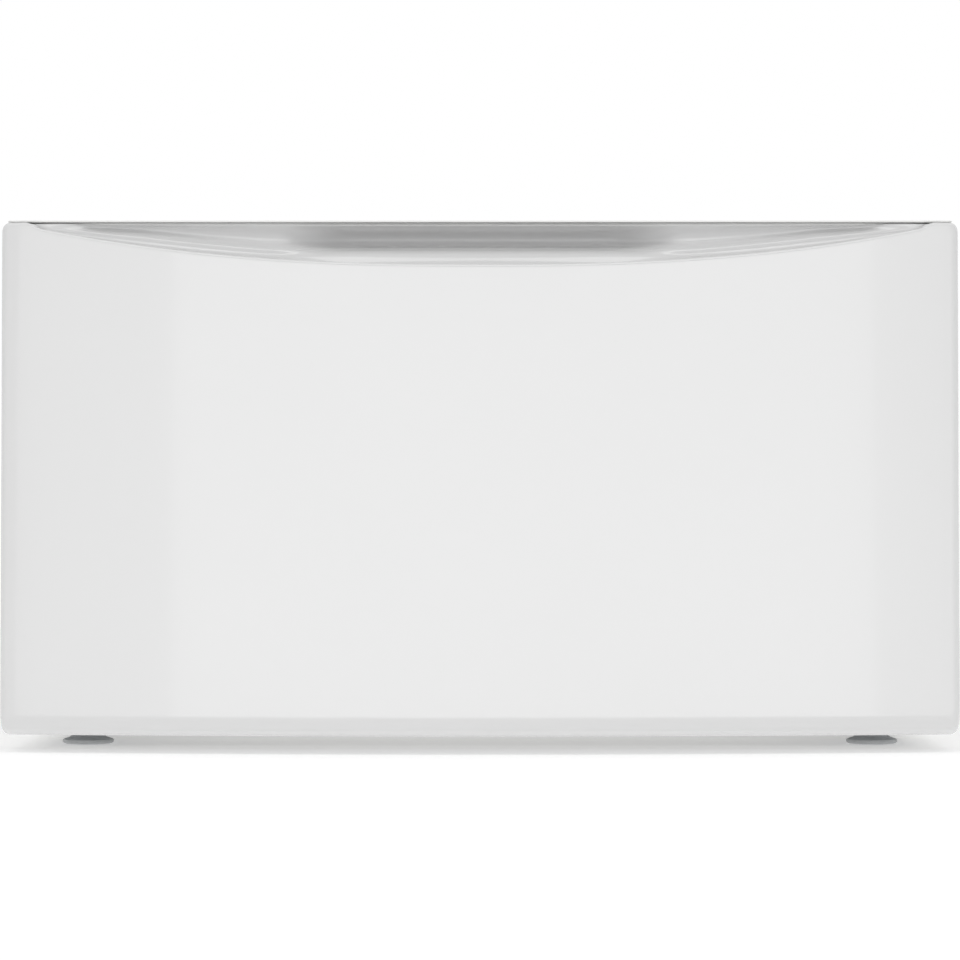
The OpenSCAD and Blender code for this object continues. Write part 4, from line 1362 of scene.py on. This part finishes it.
@dataclass
class DrawerBox:
    """The steel drawer box and the panel that closes the back of the drawer front."""

    sheet: float = 1.2 * MM  # thickness of the sheet
    roll: float = 4.5 * MM  # radius of the rolled top edges
    lip: float = 14 * MM  # width of the lips that carry the floor
    bend: float = 2 * MM  # radius of the foot bends
    depth_of_fields: float = 4 * MM
    back_margin: Pair = (60 * MM, 84 * MM)  # of the back's fields, across and up
    back_corner: float = 20 * MM
    back_lift: float = 2 * MM  # how far they lie above the middle
    rib_width: float = 56 * MM
    rib_margin: float = 118 * MM  # how much shorter a rib is than the floor
    rib_share: float = 5.4  # the floor's width holds so many rib spacings
    rib_slope: float = 6 * MM
    rib_corner: float = 22 * MM
    panel_field: Pair = (120 * MM, 200 * MM)  # size of the inner panel's fields
    panel_shift: Pair = (66 * MM, 20 * MM)  # how far they lie out from the quarters, and down
    panel_corner: float = 4 * MM
    top_turn: float = 200.0  # how far a side's top edge is rolled, in degrees

    def side(self, hand: Hand) -> None:
        """Makes one side of the box, rolled at its top.

        Args:
            hand: its side.
        """
        node = f"box_{hand.value}_side"
        middle, flat = side_face(node, hand, 0.0, self.bend, self.roll)
        sheet = PressedSheet(middle, hand.across, UP, flat, self.sheet,
                             foot=Fold(self.bend, self.lip - self.bend),
                             top=Fold(self.roll, turn=self.top_turn))
        sheet.settle(f"{node}_sheet", Finishes.BOX, "drawer", node)

    def back(self) -> None:
        """Makes the back of the box with two stamped fields and a rolled top."""
        low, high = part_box("box_back")
        top = high[2] - self.roll
        width, height = high[0] - low[0], top - low[2]
        middle = (0.0, high[1] - 2 * self.roll, (low[2] + top) / 2)
        size = (width / 2 - self.back_margin[0], height - self.back_margin[1])
        fields = tuple(Field(x, self.back_lift, *size, self.depth_of_fields,
                             corner=self.back_corner) for x in (-width / 4, width / 4))
        sheet = PressedSheet(middle, TO_RIGHT, UP, (width, height), self.sheet, fields,
                             top=Fold(self.roll, turn=180.0))
        sheet.settle("box_back_sheet", Finishes.BOX, "drawer", "box_back")

    def floor(self) -> None:
        """Makes the floor of the box with five long ribs."""
        low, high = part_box("box_floor")
        width, length = high[0] - low[0], high[1] - low[1]
        middle = (0.0, (low[1] + high[1]) / 2, low[2] + self.sheet)
        fields = tuple(Field(i * width / self.rib_share, 0.0, self.rib_width,
                             length - self.rib_margin, self.depth_of_fields, self.rib_slope,
                             self.rib_corner) for i in range(-2, 3))
        sheet = PressedSheet(middle, TO_RIGHT, TO_REAR, (width, length), self.sheet, fields)
        sheet.settle("box_floor_sheet", Finishes.BOX, "drawer", "box_floor")

    def inner_panel(self) -> None:
        """Makes the panel behind the drawer front."""
        middle, (width, height) = rear_face("front_inner_panel")
        out, down = self.panel_shift
        fields = tuple(Field(x, -down, *self.panel_field, -self.depth_of_fields)
                       for x in (-width / 4 - out, width / 4 + out))
        sheet = PressedSheet(middle, TO_LEFT, UP, (width, height), self.sheet, fields,
                             corner=self.panel_corner)
        sheet.settle("front_inner_sheet", Finishes.BOX, "drawer", "front_inner_panel")

    def build(self) -> None:
        """Makes the whole box."""
        for hand in Hand:
            self.side(hand)
        self.back()
        self.floor()
        self.inner_panel()


@dataclass
class Fasteners:
    """All the screws, rivets and nuts."""

    nut_flats: float = 17 * MM  # width across the flats of the nuts
    nut_gap: float = 0.05 * MM  # gap between a nut's bore and its stud

    def nuts(self, node: str, chamfered: bool) -> None:
        """Makes the four nuts of a node.

        Args:
            node: the CAD node.
            chamfered: whether their feet are chamfered.
        """
        low, high = lumps(node)[0]
        bore = LevelStud.radius + self.nut_gap
        nut = HexNut(self.nut_flats, high[2] - low[2], bore, chamfered)
        spread(nut.shape(), f"{node}_set", Finishes.FASTENER, "cabinet", node, Facing.UP,
               nut.height, 25.0)

    def build(self) -> None:
        """Makes all of them."""
        for node, body, facing, screw in (
                ("back_screws", "cabinet", Facing.REAR, PanScrew(reach=5.4 * MM)),
                ("front_screws", "drawer", Facing.REAR, PanScrew(reach=4.4 * MM)),
                ("box_screws", "drawer", Facing.INWARD,
                 PanScrew(height=1.6 * MM, reach=2.4 * MM, recess=1.0 * MM)),
                ("slide_rivets", "cabinet", Facing.OUTWARD, PanScrew(reach=2.7 * MM, recess=0.0))):
            spread(screw.shape(), f"{node}_set", Finishes.FASTENER, body, node, facing,
                   screw.height, 35.0)
        self.nuts("lock_nuts", True)
        self.nuts("weld_nuts", False)


@dataclass
class Feet:
    """The four levelling feet: a moulded pad and a threaded stud each."""

    pad_radius: float = 19 * MM
    pad_height: float = 9 * MM
    socket_gap: float = 0.1 * MM  # gap between a stud and its socket in the pad
    grooves: int = 24  # round a pad's rim
    groove: float = 0.35 * MM  # their depth
    groove_fade: float = 0.6 * MM  # how far in from the rim they end
    stud: LevelStud = LevelStud()

    def grip(self, radius: float, angle: float, height: float) -> float:
        """Sinks fine grooves into a pad's rim.

        Args:
            radius: the profile's radius.
            angle: the angle round the axis.
            height: the height, which changes nothing.

        Returns:
            The radius there.
        """
        on_rim = max(0.0, 1 - abs(radius - self.pad_radius) / self.groove_fade)
        return radius - self.groove * on_rim * max(0.0, math.cos(self.grooves * angle))

    def pad(self) -> Shell:
        """Makes a pad with a soft rim, fine grip grooves and a socket.

        Returns:
            The pad, which stands on the origin.
        """
        r, h, socket = self.pad_radius, self.pad_height, self.stud.radius + self.socket_gap
        profile = [(r - 2.5 * MM, 0.0), (r - 1.2 * MM, 0.4 * MM), (r - 0.3 * MM, 1.3 * MM),
                   (r, 2.2 * MM), (r - 0.2 * MM, 3.2 * MM), (r - 1.6 * MM, 3.9 * MM),
                   (r - 5 * MM, 5 * MM), (socket + 6.2 * MM, 6.6 * MM),
                   (socket + 5 * MM, h - 0.5 * MM), (socket + 4.2 * MM, h), (socket + 0.6 * MM, h),
                   (socket, h - 0.5 * MM), (socket, 3.9 * MM)]
        return turned(profile, 4 * self.grooves, self.grip)

    def build(self) -> None:
        """Makes all four feet."""
        for corner in ("front_left", "front_right", "rear_left", "rear_right"):
            low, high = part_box(f"{corner}_foot_pad")
            up = along(UP, ((low[0] + high[0]) / 2, (low[1] + high[1]) / 2, 0.0))
            for kind, made, shape, finish, sharp_deg in (
                    ("pad", "moulding", self.pad(), Finishes.PAD, 38.0),
                    ("stud", "turned", self.stud.shape(), Finishes.FASTENER, 35.0)):
                piece = Shell()
                piece.add(shape, up)
                settle(piece, f"{corner}_{kind}_{made}", finish, f"{corner}_{kind}",
                       f"{corner}_foot_{kind}", sharp_deg)


@dataclass
class Bearings:
    """The balls of the slides and the rubber bumpers of the drawer."""

    ball_rings: int = 14  # rings of faces on a ball

    def balls(self, cage: str) -> None:
        """Makes the balls of one cage.

        Args:
            cage: its side and row, such as "left_outer".
        """
        node, n = f"{cage}_balls", self.ball_rings
        low, high = lumps(node)[0]
        radius = (high[0] - low[0]) / 2
        arc = [(radius * math.sin(math.pi * k / n), -radius * math.cos(math.pi * k / n))
               for k in range(1, n)]
        spread(turned(arc, 2 * n), f"{node}_ground", Finishes.BALLS, f"{cage}_cage_set", node,
               Facing.UP, None, 60.0)

    def bumpers(self) -> None:
        """Makes the four domed bumpers behind the drawer front."""
        low, high = lumps("drawer_bumpers")[0]
        r, h = (high[0] - low[0]) / 2, high[1] - low[1]
        profile = [(r, 0.0), (r, 0.3 * h), (r - 0.25 * MM, 0.55 * h),
                   (r - 0.8 * MM, 0.8 * h), (r - 1.8 * MM, 0.94 * h), (r - 3.4 * MM, h)]
        spread(turned(profile, 40), "bumper_domes", Finishes.RUBBER, "drawer", "drawer_bumpers",
               Facing.REAR, h)

    def build(self) -> None:
        """Makes all of them."""
        for hand in Hand:
            self.balls(f"{hand.value}_outer")
            self.balls(f"{hand.value}_inner")
        self.bumpers()


# ---- studio


@dataclass(frozen=True)
class SoftBox:
    """A broad flat lamp that faces the object."""

    name: str
    middle: Point
    width: float  # its size across
    height: float  # its size along the other way
    tilt: float  # turn from facing straight down to facing the front, in degrees
    radiance: float

    def build(self) -> None:
        """Makes the lamp."""
        data = bpy.data.lights.new(self.name, "AREA")
        data.shape, data.size, data.size_y = "RECTANGLE", self.width, self.height
        data.energy = self.radiance * math.pi * self.width * self.height
        lamp = add_object(self.name, data)
        lamp.location = self.middle
        lamp.rotation_euler = (math.radians(self.tilt), 0.0, 0.0)


@dataclass
class Studio:
    """A pale floor, soft light from above and three broad soft boxes behind a long lens."""

    distance: float = 3160 * MM  # from the front's ends to the camera
    setback: float = 36.75 * MM  # how far the front's ends stand behind its foremost line
    height: float = 195.0 * MM  # of the lens above the floor
    focal_px: float = 4416.0  # focal length in pixels of the photograph
    photo_px: int = 960  # width of the photograph
    sensor_mm: float = 36.0
    boxes: tuple[SoftBox, ...] = (  # their reflections are the sheen on the bowed front
        SoftBox("soft_box_middle", (0.03, -4.45, 0.625), 4.66, 1.45, 90.0, 0.87),
        SoftBox("soft_box_near", (0.225, -4.4, 0.625), 3.35, 1.45, 90.0, 0.565),
        SoftBox("soft_box_over", (0.0, -1.3, 2.1), 3.0, 0.6, 27.0, 1.55))
    floor_size: Point = (2.6, 3.4, 2.4)  # half width, reach ahead and reach behind
    floor_glow: float = 0.31  # light that the floor gives off itself
    ceiling: Pair = (0.0, 0.5)  # heights on the dome between which the ceiling begins
    room_level: float = 0.05  # brightness of the room
    ceiling_level: float = 0.7  # how much brighter the ceiling is

    def camera(self) -> None:
        """Makes the camera that sees the front as the photograph does."""
        data = bpy.data.cameras.new("studio_camera")
        data.sensor_width = self.sensor_mm
        data.lens = self.focal_px * self.sensor_mm / self.photo_px
        data.clip_start, data.clip_end = 0.1, 60.0
        camera = add_object("studio_camera", data)
        camera.location = (0.0, cad_bounds[0][1] + self.setback - self.distance, self.height)
        camera.rotation_euler = (math.pi / 2, 0.0, 0.0)
        bpy.context.scene.camera = camera

    def floor(self) -> None:
        """Makes a pale floor that shows the object's shadow."""
        side, ahead, behind = self.floor_size
        made = bpy.data.materials.new("studio_floor_white")
        tree = blank_tree(made)
        sheet = add_node(tree, "ShaderNodeBsdfDiffuse", {"Color": linear("EEEEEE")})
        glow = add_node(tree, "ShaderNodeEmission",
                        {"Color": linear("FFFFFF"), "Strength": self.floor_glow})
        both = add_node(tree, "ShaderNodeAddShader", None, {0: sheet.outputs[0], 1: glow.outputs[0]})
        add_node(tree, "ShaderNodeOutputMaterial", None, {"Surface": both.outputs[0]})
        shell = Shell()
        shell.faces = [tuple(shell.row([(-side, -ahead, 0.0), (side, -ahead, 0.0),
                                        (side, behind, 0.0), (-side, behind, 0.0)]))]
        shell.piece("studio_floor", made)

    def seen(self, tree: bpy.types.NodeTree) -> bpy.types.NodeSocket:
        """Tells rays from the camera, from glossy surfaces and through clear ones from others.

        Args:
            tree: the world's node tree.

        Returns:
            A socket that is 1 for such a ray.
        """
        rays = add_node(tree, "ShaderNodeLightPath").outputs
        share = rays["Is Camera Ray"]
        for kind in ("Is Glossy Ray", "Is Transmission Ray"):
            share = add_node(tree, "ShaderNodeMath", {"operation": "MAXIMUM"},
                             {0: share, 1: rays[kind]}).outputs[0]
        return share

    def world(self) -> None:
        """Makes the studio's soft light from above, and plain white for all that is seen of it."""
        world = bpy.data.worlds.new("studio_dome")
        tree = blank_tree(world)
        way = add_node(tree, "ShaderNodeTexCoord").outputs["Generated"]
        height = add_node(tree, "ShaderNodeSeparateXYZ", None, {0: way}).outputs["Z"]
        level = add_node(tree, "ShaderNodeMapRange",
                         {"interpolation_type": "SMOOTHSTEP", "From Min": self.ceiling[0],
                          "From Max": self.ceiling[1], "To Min": self.room_level,
                          "To Max": self.room_level + self.ceiling_level}, {"Value": height})
        dome = add_node(tree, "ShaderNodeBackground", {"Color": linear("FFFFFF")},
                        {"Strength": level.outputs[0]})
        white = add_node(tree, "ShaderNodeBackground", {"Color": linear("FFFFFF"), "Strength": 1.0})
        both = add_node(tree, "ShaderNodeMixShader", None,
                        {0: self.seen(tree), 1: dome.outputs[0], 2: white.outputs[0]})
        add_node(tree, "ShaderNodeOutputWorld", None, {"Surface": both.outputs[0]})
        bpy.context.scene.world = world

    def build(self) -> None:
        """Makes the whole studio."""
        self.camera()
        self.floor()
        self.world()
        for box in self.boxes:
            box.build()
        bpy.context.scene.view_settings.view_transform = "Standard"


# ---- dressing


@dataclass(frozen=True)
class Dress:
    """A CAD node's finish, and how far its edges are eased."""

    finish: Finishes
    easing: float
    angle: float = 40.0  # turn from which an edge is eased, in degrees

    def put_on(self, node: bpy.types.Object) -> None:
        """Gives a node the finish and the eased edges.

        Args:
            node: the CAD object.
        """
        node.data.materials.clear()
        node.data.materials.append(material_of(self.finish))
        bevel = node.modifiers.new("eased_edges", "BEVEL")
        bevel.width, bevel.segments = self.easing, 2
        bevel.limit_method, bevel.angle_limit = "ANGLE", math.radians(self.angle)
        bevel.use_clamp_overlap = True


# A node takes the dress of the longest of these words that its name holds
DRESSES: dict[str, Dress] = {
    "box_front": Dress(Finishes.BOX, 0.3 * MM),
    "bottom_rail": Dress(Finishes.CABINET, 0.3 * MM),
    "top_rail": Dress(Finishes.CABINET, 0.3 * MM),
    "outer_rail": Dress(Finishes.ZINC, 0.25 * MM),
    "middle_rail": Dress(Finishes.ZINC, 0.2 * MM),
    "inner_rail": Dress(Finishes.ZINC, 0.2 * MM),
    "support": Dress(Finishes.ZINC, 0.35 * MM),
    "bracket": Dress(Finishes.ZINC, 0.5 * MM),
    "cage": Dress(Finishes.CAGE, 0.1 * MM),
    "lever": Dress(Finishes.NYLON, 0.4 * MM),
}


def dress_nodes() -> None:
    """Gives every CAD node that still shows its finish and eased edges."""
    for name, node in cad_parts.items():
        if not node.hide_render:
            dress = DRESSES[max((k for k in DRESSES if k in name), key=len)]
            dress.put_on(node)
            LOG.info("%s: dressed in %s", name, dress.finish.value.name)


def main() -> None:
    """Builds the pedestal's looks in order."""
    logging.basicConfig(level=logging.INFO, format="%(name)s: %(message)s")
    shape = FrontShape(*(tuple(corner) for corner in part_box("drawer_front")))
    rim_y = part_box("top_deck")[0][1] + 2 * MM
    for assembly in (Studio(), FrontSkin(shape), FingerPull(shape, rim_y), Cabinet(), DrawerBox(),
                     Fasteners(), Feet(), Bearings()):
        assembly.build()
    dress_nodes()


if __name__ == "__main__":
    main()
